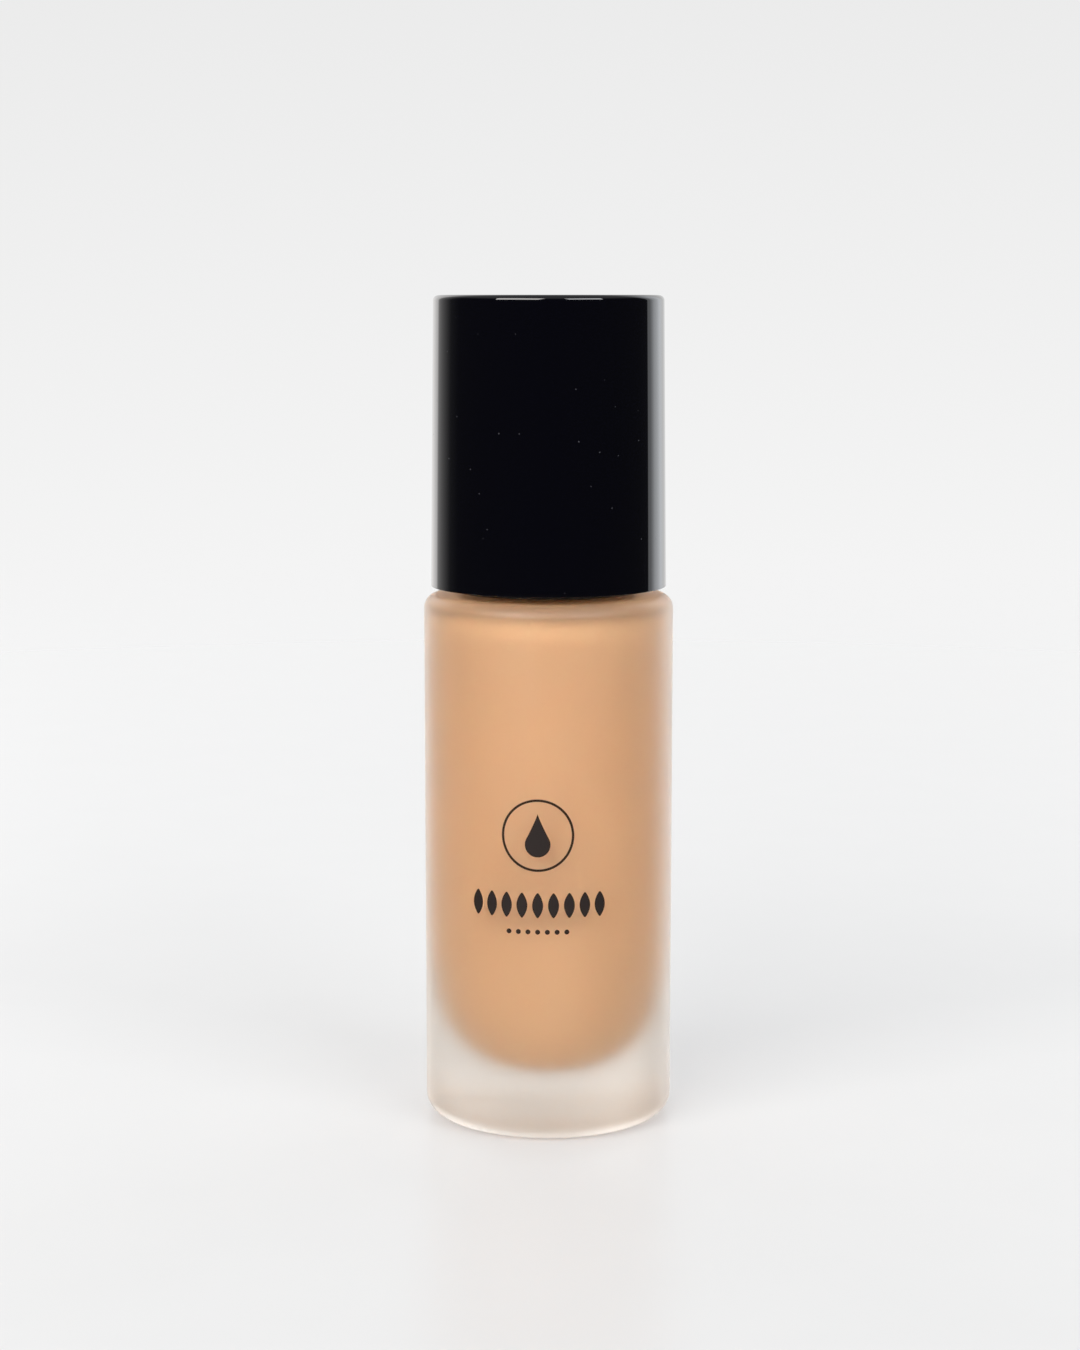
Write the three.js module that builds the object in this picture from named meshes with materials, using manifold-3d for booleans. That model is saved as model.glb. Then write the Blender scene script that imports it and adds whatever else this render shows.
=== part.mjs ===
// Foundation bottle with a press pump and an overcap.
// Millimetres. +Z is up, the foot stands on Z = 0, the nozzle points along -Y.
import * as THREE from 'three';
import { mergeVertices } from 'three/addons/utils/BufferGeometryUtils.js';
import Module from 'manifold-3d';

const wasm = await Module();
wasm.setup();

// ---------------------------------------------------------------- sizes

// Clearances that tie one piece to the next.
const restGap = 0.1; // faces that rest on each other
const snugGap = 0.25; // pieces pressed or snapped together
const runGap = 0.3; // pieces that turn or slide past each other
const stopGap = 0.4; // left over at the end of a stroke

// Glass bottle.
const bodyRadius = 17.5;
const bodyHeight = 74.5;
const shoulderFillet = 2.0;
const heelFillet = 3.4;
const wall = 4.2;
const baseThickness = 7.4;
const bowlDepth = 30.0; // height of the rounded inner floor
const bowlSquareness = 2.8; // 2 is an ellipse, more is fuller in the corner
const innerShoulderFillet = 2.0;
const shoulderThickness = 1.1;
const standingWidth = 2.7; // flat ring that the bottle stands on
const puntDepth = 0.7; // shallow hollow inside that ring

// Neck finish, 18 mm with a 3.175 mm pitch.
const neckHeight = 15.2;
const neckRadius = 7.9;
const neckBoreGap = 0.6; // round the pump's barrel
const neckLipFillet = 0.6;
const threadPitch = 3.175;
const threadTurns = 1.5;
const threadDepth = 0.95;
const maleRootWidth = 1.9;
const maleCrestWidth = 1.0;
const threadTopOffset = 1.6; // centre of the thread's upper end below the lip
const femaleRootWidth = 1.3;
const femaleCrestWidth = 0.7;
const threadRunOut = 0.12; // share of a turn over which a ridge fades in
const threadEndRise = 0.15; // share of its height that a ridge starts with
const threadSink = 0.3; // how far a ridge's root is sunk in its wall

// Foundation.
const headspace = 3.9; // between the filling and the glass above it
const tubeFloorGap = 1.1; // below the dip tube's lowest point

// Pump housing.
const barrelWall = 1.0;
const flangeOverhang = 0.1; // past the neck's outside
const flangeThickness = 1.2;
const gasketThickness = 1.0;
const ballRadius = 1.5;
const ballLift = 1.0;
const ballGap = 0.5; // round the ball, for the liquid
const seatLap = 0.16; // of the seat below the ball's line of contact
const inletLength = 0.7;
const socketDepth = 5.7;
const socketWall = 1.0;
const ventRadius = 0.4;

// Dip tube.
const tubeRadius = 1.6;
const tubeBore = 1.1;
const tubeSlant = 0.6; // radians

// Moving pump pieces.
const stroke = 3.8;
const sealSlip = 0.5; // lost motion that opens the outlet ports
const rodRadius = 1.45;
const rodBore = 0.8;
const rodFlangeGap = 0.7; // round the flange, for the liquid
const rodFlangeThickness = 1.2;
const rodSpigotGap = 0.65; // inside the spring
const portRadius = 0.45;
const sealHeight = 3.0;
const sealSlideGap = 0.18;
const sealLip = 0.5;
const stemRadius = 2.3;
const stemBore = 1.1;
const stemRodOverlap = 7.5;
const retainerThickness = 1.0;
const retainerBore = 1.0;
const retainerSlots = 4;
const retainerSlotWidth = 0.8;
const springWire = 0.5;
const springTurns = 6.5;
const springTurnGap = 0.075; // between a closed turn and the next
const springPressedLength = 3.6;

// Chaplet that closes the housing and guides the stem.
const chapletSkirt = 4.0;
const chapletSkirtWall = 0.55;
const chapletFlangeLap = 1.0; // past the barrel's outside
const chapletFlangeThickness = 1.2;
const chapletBossWall = 1.2;
const chapletBossHeight = 3.2;

// Screw closure and its cover.
const closureWall = 1.4;
const closureTop = 1.2;
const closureRibs = 24;
const closureRibHeight = 1.15;
const closureRibWidth = 0.8;
const closureFootGap = 0.8;
const coverWall = 1.2;
const coverTop = 1.0;
const coverFootGap = 0.4;
const coverHoleGap = 1.6;
const coverFillet = 0.5;

// Actuator head.
const actuatorRadius = 7.5;
const actuatorHeight = 11.6;
const actuatorWall = 1.1;
const actuatorCrown = 7.6; // solid part above the open skirt
const actuatorDish = 0.9; // depth of the finger dish
const actuatorFillet = 1.2;
const stemSocketDepth = 3.2;
const stemSocketWall = 1.1;
const spoutRadius = 2.1;
const spoutGap = 1.15; // from the spout's mouth to the cap's liner
const spoutBelowTop = 4.2;
const insertRadius = 1.2;
const insertBore = 0.5;
const insertLength = 4.4;
const channelRadius = 0.8;

// Overcap.
const capFootGap = 1.1; // daylight between the cap and the shoulder
const capHeadroom = 3.0; // over the actuator head
const capSideWall = 0.95; // at the top
const capDraft = 0.45; // by which the foot is wider
const capTopWall = 1.6;
const capFillet = 0.8;
const linerWall = 0.9;
const linerTop = 1.0;
const linerRibs = 12;
const linerRibHeight = 0.5;
const linerRibWidth = 1.0;
const linerFootGap = 0.6;
const linerSeatWidth = 0.6; // how far the seat reaches over the cover's top

// Small edges.
const edgeBevel = 0.3;
const edgeInset = 0.5; // how far ribs and the outlet tube stop short of an edge

// Facets.
const largeFacets = 56;
const smallFacets = 36;
const sideFacets = 16;
const wireFacets = 8;
const coilFacets = 16; // in one turn
const ballFacets = 20;
const threadFacets = 40; // in one turn
const arcSteps = 5;
const bowlSteps = 12;
const dishSteps = 5;

// ------------------------------------------------------- worked out sizes

const quarter = Math.PI / 2;
const mergeDistance = 1e-5;

// Across, from the pump's axis outwards.
const chapletBore = stemRadius + runGap;
const chapletSkirtRadius = chapletBore + chapletSkirtWall;
const chapletBossRadius = chapletBore + chapletBossWall;
const barrelBore = chapletSkirtRadius + snugGap;
const barrelRadius = barrelBore + barrelWall;
const chapletFlangeRadius = barrelRadius + chapletFlangeLap;
const rodFlangeRadius = barrelBore - rodFlangeGap;
const springRadius = rodFlangeRadius - runGap;
const rodSpigotRadius = springRadius - springWire / 2 - rodSpigotGap;
const ballChamberRadius = ballRadius + ballGap;
const inletRadius = ballRadius / Math.SQRT2 - seatLap;
const socketBore = tubeRadius + snugGap;
const socketRadius = socketBore + socketWall;

const footRadius = bodyRadius - heelFillet;
const puntRadius = footRadius - standingWidth;
const bottleInner = bodyRadius - wall;
const neckBore = barrelRadius + neckBoreGap;
const threadCrest = neckRadius + threadDepth;
const flangeRadius = neckRadius + flangeOverhang;
const gasketBore = neckBore + runGap;

const closureHole = chapletFlangeRadius + runGap;
const closureBore = threadCrest + runGap;
const closureRadius = closureBore + closureWall;
const ribRadius = closureRadius + closureRibHeight;
const coverHole = chapletBossRadius + coverHoleGap;
const coverBore = ribRadius + snugGap;
const coverRadius = coverBore + coverWall;
const linerRibTip = coverRadius + runGap;
const linerBore = linerRibTip + linerRibHeight;
const linerRadius = linerBore + linerWall;
const linerSeatBore = coverRadius - linerSeatWidth;
const capBore = linerRadius + snugGap;
const capTopRadius = capBore + capSideWall;
const capFootRadius = capTopRadius + capDraft;

const stemSocketBore = stemRadius + snugGap;
const stemSocketRadius = stemSocketBore + stemSocketWall;
const spoutReach = linerSeatBore - spoutGap;

// Up the bottle.
const ceiling = bodyHeight - shoulderThickness;
const fillHeight = ceiling - headspace;
const neckTop = bodyHeight + neckHeight;
const maleStart = neckTop - threadTopOffset - threadTurns * threadPitch;
const femaleStart = maleStart - threadPitch / 2;

// Up from the neck's lip.
const gasketFoot = neckTop + restGap;
const gasketHead = gasketFoot + gasketThickness;
const flangeFoot = gasketHead + restGap;
const flangeHead = flangeFoot + flangeThickness;
const chapletFlangeFoot = flangeHead + restGap;
const chapletFlangeHead = chapletFlangeFoot + chapletFlangeThickness;
const chapletHead = chapletFlangeHead + chapletBossHeight;
const closureFoot = bodyHeight + closureFootGap;
const closureCeiling = flangeHead + restGap;
const closureHead = closureCeiling + closureTop;
const coverFoot = bodyHeight + coverFootGap;
const coverCeiling = closureHead + restGap;
const coverHead = coverCeiling + coverTop;

// Down into the barrel.
const chapletFoot = flangeHead - chapletSkirt;
const sealHead = chapletFoot - restGap;
const sealFoot = sealHead - sealHeight;
const rodFlangeHead = sealFoot - restGap;
const rodFlangeFoot = rodFlangeHead - rodFlangeThickness;
const rodSpigotFoot = rodFlangeFoot - springPressedLength + stopGap;
const springHead = rodFlangeFoot - restGap;
const springFoot = springHead - springPressedLength - stroke;
const retainerHead = springFoot - restGap;
const retainerFoot = retainerHead - retainerThickness;
const ledge = retainerFoot - restGap;
const ballCentre = ledge - ballLift - ballRadius;
const seatContact = ballCentre - restGap - ballRadius * Math.SQRT2; // tip of the seat's cone
const seatHead = seatContact + ballChamberRadius;
const seatFoot = seatContact + inletRadius;
const socketHead = seatFoot - inletLength;
const socketFoot = socketHead - socketDepth;
const tubeHead = socketHead - restGap;
const tubeFoot = baseThickness + tubeFloorGap;

// Up to the button and the cap.
const stemFoot = sealHead + sealSlip + restGap;
const rodHead = stemFoot + stemRodOverlap;
const actuatorFoot = coverHead + stroke + stopGap;
const actuatorHead = actuatorFoot + actuatorHeight;
const skirtCeiling = actuatorHead - actuatorCrown;
const stemSocketFoot = chapletHead + stroke + stopGap;
const stemSocketHead = stemSocketFoot + stemSocketDepth;
const stemHead = stemSocketHead - restGap;
const spoutHeight = actuatorHead - spoutBelowTop;

const capFoot = bodyHeight + capFootGap;
const linerFoot = capFoot + linerFootGap;
const linerSeat = coverHead + restGap;
const linerCeiling = actuatorHead + capHeadroom;
const linerHead = linerCeiling + linerTop;
const capCeiling = linerHead + restGap;
const capHead = capCeiling + capTopWall;

// ---------------------------------------------------------------- tools

// Points of an arc about (x, y), elliptic where the two radii differ.
function arc(x, y, radiusX, radiusY, from, to, steps = arcSteps) {
  const points = [];
  for (let i = 0; i <= steps; i += 1) {
    const angle = from + ((to - from) * i) / steps;
    points.push([x + radiusX * Math.cos(angle), y + radiusY * Math.sin(angle)]);
  }
  return points;
}

// The rounded inner floor of the bottle, from the axis out to the wall.
function bowl(radius, floor) {
  const points = [];
  for (let i = 0; i <= bowlSteps; i += 1) {
    const angle = (quarter * i) / bowlSteps;
    points.push([
      radius * Math.sin(angle) ** (2 / bowlSquareness),
      floor + bowlDepth * (1 - Math.cos(angle) ** (2 / bowlSquareness)),
    ]);
  }
  return points;
}

// A turned piece. The outline is [radius, height] points, listed so that the
// material is on their left: up the outside and down the inside.
function turned(outline, facets, open = false) {
  const points = outline.map(([radius, height]) => new THREE.Vector2(radius, height));
  if (!open) points.push(points[0].clone());
  const geometry = new THREE.LatheGeometry(points, facets);
  geometry.rotateX(quarter);
  return geometry;
}

// A tube or ring between two radii and two heights.
function ring(inner, outer, foot, head, facets) {
  return turned([[outer, foot], [outer, head], [inner, head], [inner, foot]], facets);
}

// A solid rod from a foot to a head, on the Z axis.
function rod(radius, foot, head, facets = smallFacets) {
  return turned([[0, foot], [radius, foot], [radius, head], [0, head]], facets, true);
}

// Lays an upright piece along -Y at a height: its heights become distances
// from the bottle's axis.
function laidForward(geometry, height) {
  geometry.rotateX(quarter);
  geometry.translate(0, 0, height);
  return geometry;
}

// Upright fins round the axis, from one radius to another. They stop a little
// short of both heights.
function finsAround(count, root, tip, width, foot, head) {
  const fins = [];
  for (let i = 0; i < count; i += 1) {
    const fin = new THREE.BoxGeometry(Math.abs(tip - root), width, head - foot - 2 * edgeInset);
    fin.translate((root + tip) / 2, 0, (foot + head) / 2);
    fin.rotateZ(((i + 0.5) * 2 * Math.PI) / count);
    fins.push(fin);
  }
  return fins;
}

// A geometry as a solid for booleans: shared corners are merged, and faces that
// have shrunk to a line are dropped.
function solidOf(geometry) {
  const plain = geometry.clone();
  plain.deleteAttribute('normal');
  plain.deleteAttribute('uv');
  const merged = mergeVertices(plain, mergeDistance);
  const corners = merged.index.array;
  const kept = [];
  for (let i = 0; i < corners.length; i += 3) {
    const [a, b, c] = corners.slice(i, i + 3);
    if (a !== b && b !== c && c !== a) kept.push(a, b, c);
  }
  return new wasm.Manifold(new wasm.Mesh({
    numProp: 3,
    vertProperties: new Float32Array(merged.attributes.position.array),
    triVerts: new Uint32Array(kept),
  }));
}

function geometryOf(solid) {
  const mesh = solid.getMesh();
  const geometry = new THREE.BufferGeometry();
  geometry.setAttribute('position', new THREE.BufferAttribute(mesh.vertProperties, 3));
  geometry.setIndex(new THREE.BufferAttribute(mesh.triVerts, 1));
  return geometry;
}

// Joins some geometries and cuts others away.
function shaped(added, removed = []) {
  let solid = added.map(solidOf).reduce((whole, piece) => whole.add(piece));
  for (const tool of removed) solid = solid.subtract(solidOf(tool));
  return geometryOf(solid);
}

// A helical thread ridge. Its section stands on the root radius and reaches the
// tip radius, outward or inward, and its centre climbs by one pitch a turn.
function threadRidge(root, tip, rootWidth, tipWidth, start) {
  const section = new THREE.Shape([
    new THREE.Vector2(root, -rootWidth / 2),
    new THREE.Vector2(tip, -tipWidth / 2),
    new THREE.Vector2(tip, tipWidth / 2),
    new THREE.Vector2(root, rootWidth / 2),
  ]);
  const geometry = new THREE.ExtrudeGeometry(section, {
    depth: threadTurns,
    steps: Math.round(threadTurns * threadFacets),
    bevelEnabled: false,
  });
  const corners = geometry.attributes.position;
  for (let i = 0; i < corners.count; i += 1) {
    const turn = corners.getZ(i);
    const fromEnd = Math.min(turn, threadTurns - turn);
    const rise = threadEndRise + (1 - threadEndRise) * Math.min(1, fromEnd / threadRunOut);
    const radius = root + (corners.getX(i) - root) * rise;
    const angle = turn * 2 * Math.PI;
    const height = start + turn * threadPitch - corners.getY(i);
    corners.setXYZ(i, radius * Math.cos(angle), radius * Math.sin(angle), height);
  }
  return geometry;
}

// The centre line of a compression spring. Its first and last turns are closed:
// they climb by little more than the wire's thickness.
class SpringLine extends THREE.Curve {
  constructor(radius, foot, head, turns, closedRise) {
    super();
    Object.assign(this, { radius, foot, head, turns, closedRise });
  }

  getPoint(share) {
    const angle = share * this.turns * 2 * Math.PI;
    const closed = 1 / this.turns; // share of the length in one end turn
    const openRise = this.head - this.foot - 2 * this.closedRise;
    const open = THREE.MathUtils.clamp((share - closed) / (1 - 2 * closed), 0, 1);
    const ends = Math.min(share, closed) + Math.max(0, share - 1 + closed);
    const height = this.foot + open * openRise + (ends / closed) * this.closedRise;
    return new THREE.Vector3(
      this.radius * Math.cos(angle),
      this.radius * Math.sin(angle),
      height,
    );
  }
}

// ---------------------------------------------------------------- materials

function finish(color, roughness, metalness = 0) {
  return new THREE.MeshStandardMaterial({ color, roughness, metalness });
}

const frostedGlass = finish(0xe3dcd2, 0.55);
const liquid = finish(0xdaa878, 0.35);
const blackGloss = finish(0x0a0a0f, 0.08);
const blackSatin = finish(0x17171b, 0.35);
const whitePlastic = finish(0xf1efea, 0.45);
const clearPlastic = finish(0xe4e6e4, 0.4);
const softPlastic = finish(0xf7f4ec, 0.6);
const foam = finish(0xfafafa, 0.85);
const steel = finish(0xb9bcc0, 0.25, 1);

// ---------------------------------------------------------------- pieces

const assembly = new THREE.Group();

function place(name, geometry, material) {
  const mesh = new THREE.Mesh(geometry, material);
  mesh.name = name;
  assembly.add(mesh);
}

// One glass wall, from the hollow under the foot, up the outside, over the
// neck and down the bore to the bowl-shaped inner floor.
function bottleGlass() {
  const shoulderRadius = bodyRadius - shoulderFillet;
  const shoulderStart = bodyHeight - shoulderFillet;
  const lipRadius = neckRadius - neckLipFillet;
  const innerShoulder = bottleInner - innerShoulderFillet;
  const innerStart = ceiling - innerShoulderFillet;
  const outline = [
    [0, puntDepth],
    [puntRadius - puntDepth, puntDepth],
    [puntRadius, 0],
    ...arc(footRadius, heelFillet, heelFillet, heelFillet, -quarter, 0),
    ...arc(shoulderRadius, shoulderStart, shoulderFillet, shoulderFillet, 0, quarter),
    [neckRadius, bodyHeight],
    ...arc(lipRadius, neckTop - neckLipFillet, neckLipFillet, neckLipFillet, 0, quarter, 3),
    [neckBore, neckTop],
    [neckBore, ceiling],
    ...arc(innerShoulder, innerStart, innerShoulderFillet, innerShoulderFillet, quarter, 0),
    ...bowl(bottleInner, baseThickness).reverse(),
  ];
  const ridge = threadRidge(
    neckRadius - threadSink,
    threadCrest,
    maleRootWidth,
    maleCrestWidth,
    maleStart,
  );
  return shaped([turned(outline, largeFacets, true), ridge]);
}

// The filling, with a well for the dip tube and the housing's lower end.
function foundationLiquid() {
  const radius = bottleInner - restGap;
  const floor = baseThickness + restGap;
  const shoulderStart = ceiling - innerShoulderFillet;
  const reach = THREE.MathUtils.clamp((fillHeight - shoulderStart) / innerShoulderFillet, 0, 1);
  const shoulder = radius - innerShoulderFillet;
  const top = reach > 0
    ? arc(shoulder, shoulderStart, innerShoulderFillet, innerShoulderFillet, 0, Math.asin(reach))
    : [[radius, fillHeight]];
  const tubeWell = tubeRadius + runGap;
  const socketWell = socketRadius + runGap;
  return turned([
    ...bowl(radius, floor),
    ...top,
    [socketWell, fillHeight],
    [socketWell, socketFoot - runGap],
    [tubeWell, socketFoot - runGap],
    [tubeWell, tubeFoot - runGap],
    [0, tubeFoot - runGap],
  ], largeFacets, true);
}

// Outer shell of the overcap, a little wider at its foot.
function capShell() {
  return turned([
    [0, capCeiling],
    [capBore, capCeiling],
    [capBore, capFoot],
    [capFootRadius, capFoot],
    ...arc(capTopRadius - capFillet, capHead - capFillet, capFillet, capFillet, 0, quarter),
    [0, capHead],
  ], largeFacets, true);
}

// Liner snapped into the shell. Its ribs grip the cover, and its seat lands on it.
function capLiner() {
  const body = turned([
    [0, linerCeiling],
    [linerSeatBore, linerCeiling],
    [linerSeatBore, linerSeat],
    [linerBore, linerSeat],
    [linerBore, linerFoot],
    [linerRadius, linerFoot],
    [linerRadius, linerHead],
    [0, linerHead],
  ], largeFacets, true);
  const ribRoot = linerBore + linerWall / 2;
  const ribs = finsAround(linerRibs, ribRoot, linerRibTip, linerRibWidth, linerFoot, linerSeat);
  return shaped([body, ...ribs]);
}

// Screw closure with a female thread, and grip ribs under its cover.
function screwClosure() {
  const body = turned([
    [closureRadius, closureFoot],
    [closureRadius, closureHead],
    [closureHole, closureHead],
    [closureHole, closureCeiling],
    [closureBore, closureCeiling],
    [closureBore, closureFoot],
  ], largeFacets);
  const ridge = threadRidge(
    closureBore + threadSink,
    neckRadius + runGap,
    femaleRootWidth,
    femaleCrestWidth,
    femaleStart,
  );
  const ribRoot = closureRadius - closureWall / 2;
  const ribs = finsAround(
    closureRibs,
    ribRoot,
    ribRadius,
    closureRibWidth,
    closureFoot,
    closureHead,
  );
  return shaped([body, ridge, ...ribs]);
}

// Smooth sleeve over the screw closure. The overcap slides on it.
function collarCover() {
  return turned([
    [coverRadius, coverFoot],
    ...arc(coverRadius - coverFillet, coverHead - coverFillet, coverFillet, coverFillet, 0, quarter, 3),
    [coverHole, coverHead],
    [coverHole, coverCeiling],
    [coverBore, coverCeiling],
    [coverBore, coverFoot],
  ], largeFacets);
}

// Barrel with its flange on the gasket, a spring ledge, the ball's chamber and
// conical seat, the inlet and the dip tube's socket. A small hole vents it.
function pumpHousing() {
  const body = turned([
    [flangeRadius, flangeFoot],
    [flangeRadius, flangeHead],
    [barrelBore, flangeHead],
    [barrelBore, ledge],
    [ballChamberRadius, ledge],
    [ballChamberRadius, seatHead],
    [inletRadius, seatFoot],
    [inletRadius, socketHead],
    [socketBore, socketHead],
    [socketBore, socketFoot],
    [socketRadius, socketFoot],
    [socketRadius, seatFoot],
    [barrelRadius, seatHead],
    [barrelRadius, flangeFoot],
  ], smallFacets);
  const ventHeight = sealFoot + sealHeight / 2;
  const vent = rod(ventRadius, barrelBore - barrelWall, barrelRadius + barrelWall, sideFacets);
  return shaped([body], [laidForward(vent, ventHeight)]);
}

// Guide pressed into the housing's mouth. The stem slides through it.
function chaplet() {
  return turned([
    [chapletSkirtRadius, chapletFoot],
    [chapletSkirtRadius, chapletFlangeFoot],
    [chapletFlangeRadius, chapletFlangeFoot],
    [chapletFlangeRadius, chapletFlangeHead],
    [chapletBossRadius, chapletFlangeHead],
    [chapletBossRadius, chapletHead - edgeBevel],
    [chapletBossRadius - edgeBevel, chapletHead],
    [chapletBore, chapletHead],
    [chapletBore, chapletFoot],
  ], smallFacets);
}

// Straight tube with its lower end cut at a slant.
function dipTube() {
  const tube = ring(tubeBore, tubeRadius, tubeFoot, tubeHead, smallFacets);
  const across = 8 * tubeRadius;
  const cutter = new THREE.BoxGeometry(across, across, across);
  cutter.translate(0, 0, -across / 2);
  cutter.rotateY(tubeSlant);
  cutter.translate(0, 0, tubeFoot + tubeRadius * Math.tan(tubeSlant));
  return shaped([tube], [cutter]);
}

// Disc over the ball's chamber. Its slots let the liquid past the ball.
function ballRetainer() {
  const disc = ring(retainerBore, barrelBore - snugGap, retainerFoot, retainerHead, smallFacets);
  const slots = finsAround(
    retainerSlots,
    retainerBore / 2,
    ballChamberRadius,
    retainerSlotWidth,
    retainerFoot - 2 * edgeInset,
    retainerHead + 2 * edgeInset,
  );
  return shaped([disc], slots);
}

function checkBall() {
  const ball = new THREE.SphereGeometry(ballRadius, ballFacets, ballFacets / 2);
  ball.rotateX(quarter);
  ball.translate(0, 0, ballCentre);
  return ball;
}

function returnSpring() {
  const line = new SpringLine(
    springRadius,
    springFoot + springWire / 2,
    springHead - springWire / 2,
    springTurns,
    springWire + springTurnGap,
  );
  const section = new THREE.Shape();
  section.absarc(0, 0, springWire / 2, 0, 2 * Math.PI);
  return new THREE.ExtrudeGeometry(section, {
    curveSegments: wireFacets / 2,
    steps: Math.round(springTurns * coilFacets),
    extrudePath: line,
    bevelEnabled: false,
  });
}

// Sliding cup seal between the rod and the barrel, with a lip at each end.
function pistonSeal() {
  const outer = barrelBore - sealSlideGap;
  const inner = rodRadius + sealSlideGap;
  return turned([
    [outer, sealFoot],
    [outer, sealFoot + sealLip],
    [outer - sealLip, sealFoot + 2 * sealLip],
    [outer - sealLip, sealHead - 2 * sealLip],
    [outer, sealHead - sealLip],
    [outer, sealHead],
    [outer - sealLip / 2, sealHead],
    [inner + sealLip, sealHead - 2 * sealLip],
    [inner + sealLip, sealHead],
    [inner, sealHead],
    [inner, sealFoot],
  ], smallFacets);
}

// Rod with a flange for the seal and the spring, a spigot inside the spring,
// and a bore that two side ports open into.
function pistonRod() {
  const portHeight = sealFoot + portRadius + snugGap;
  const body = turned([
    [0, rodSpigotFoot],
    [rodSpigotRadius - edgeBevel, rodSpigotFoot],
    [rodSpigotRadius, rodSpigotFoot + edgeBevel],
    [rodSpigotRadius, rodFlangeFoot],
    [rodFlangeRadius, rodFlangeFoot],
    [rodFlangeRadius, rodFlangeHead],
    [rodRadius, rodFlangeHead],
    [rodRadius, rodHead],
    [rodBore, rodHead],
    [rodBore, portHeight - portRadius],
    [0, portHeight - portRadius],
  ], smallFacets, true);
  const ports = rod(portRadius, -2 * rodRadius, 2 * rodRadius, sideFacets);
  return shaped([body], [laidForward(ports, portHeight)]);
}

// Tube that carries the actuator head. The rod is pressed into its lower end.
function stem() {
  const rodSocket = rodRadius + snugGap;
  return turned([
    [stemRadius, stemFoot],
    [stemRadius, stemHead - edgeBevel],
    [stemRadius - edgeBevel, stemHead],
    [stemBore, stemHead],
    [stemBore, rodHead + restGap],
    [rodSocket, rodHead + restGap],
    [rodSocket, stemFoot],
  ], smallFacets);
}

// Press button with a finger dish, a socket for the stem and a short spout.
function actuatorHeadShape() {
  const dishRadius = actuatorRadius - actuatorFillet;
  const filletHeight = actuatorHead - actuatorFillet;
  const channelHead = spoutHeight + channelRadius;
  const insertSeat = spoutReach - insertLength - restGap;
  const dish = [];
  for (let i = 1; i < dishSteps; i += 1) {
    const share = 1 - i / dishSteps;
    dish.push([dishRadius * share, actuatorHead - actuatorDish * (1 - share * share)]);
  }
  const body = turned([
    [0, channelHead],
    [channelRadius, channelHead],
    [channelRadius, stemSocketHead],
    [stemSocketBore, stemSocketHead],
    [stemSocketBore, stemSocketFoot],
    [stemSocketRadius, stemSocketFoot],
    [stemSocketRadius, skirtCeiling],
    [actuatorRadius - actuatorWall, skirtCeiling],
    [actuatorRadius - actuatorWall, actuatorFoot],
    [actuatorRadius, actuatorFoot],
    ...arc(dishRadius, filletHeight, actuatorFillet, actuatorFillet, 0, quarter),
    ...dish,
    [0, actuatorHead - actuatorDish],
  ], smallFacets, true);
  const spout = rod(spoutRadius, actuatorRadius - 2 * actuatorWall, spoutReach, sideFacets);
  const seat = rod(insertRadius + snugGap, insertSeat, spoutReach + spoutRadius, sideFacets);
  const channel = rod(channelRadius, 0, spoutReach, sideFacets);
  return shaped(
    [body, laidForward(spout, spoutHeight)],
    [laidForward(seat, spoutHeight), laidForward(channel, spoutHeight)],
  );
}

// Small outlet tube pressed into the spout.
function nozzleInsert() {
  const mouth = spoutReach - edgeInset;
  const tube = ring(insertBore, insertRadius, spoutReach - insertLength, mouth, sideFacets);
  return laidForward(tube, spoutHeight);
}

place('bottle_glass', bottleGlass(), frostedGlass);
place('foundation_liquid', foundationLiquid(), liquid);
place('cap_shell', capShell(), blackGloss);
place('cap_liner', capLiner(), blackSatin);
place('collar_cover', collarCover(), blackGloss);
place('screw_closure', screwClosure(), whitePlastic);
place('neck_gasket', ring(gasketBore, flangeRadius, gasketFoot, gasketHead, smallFacets), foam);
place('pump_housing', pumpHousing(), clearPlastic);
place('chaplet', chaplet(), whitePlastic);
place('dip_tube', dipTube(), clearPlastic);
place('check_ball', checkBall(), steel);
place('ball_retainer', ballRetainer(), whitePlastic);
place('return_spring', returnSpring(), steel);
place('piston_seal', pistonSeal(), softPlastic);
place('piston_rod', pistonRod(), whitePlastic);
place('stem', stem(), whitePlastic);
place('actuator_head', actuatorHeadShape(), blackGloss);
place('nozzle_insert', nozzleInsert(), blackSatin);

export default assembly;
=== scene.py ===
import math

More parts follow.
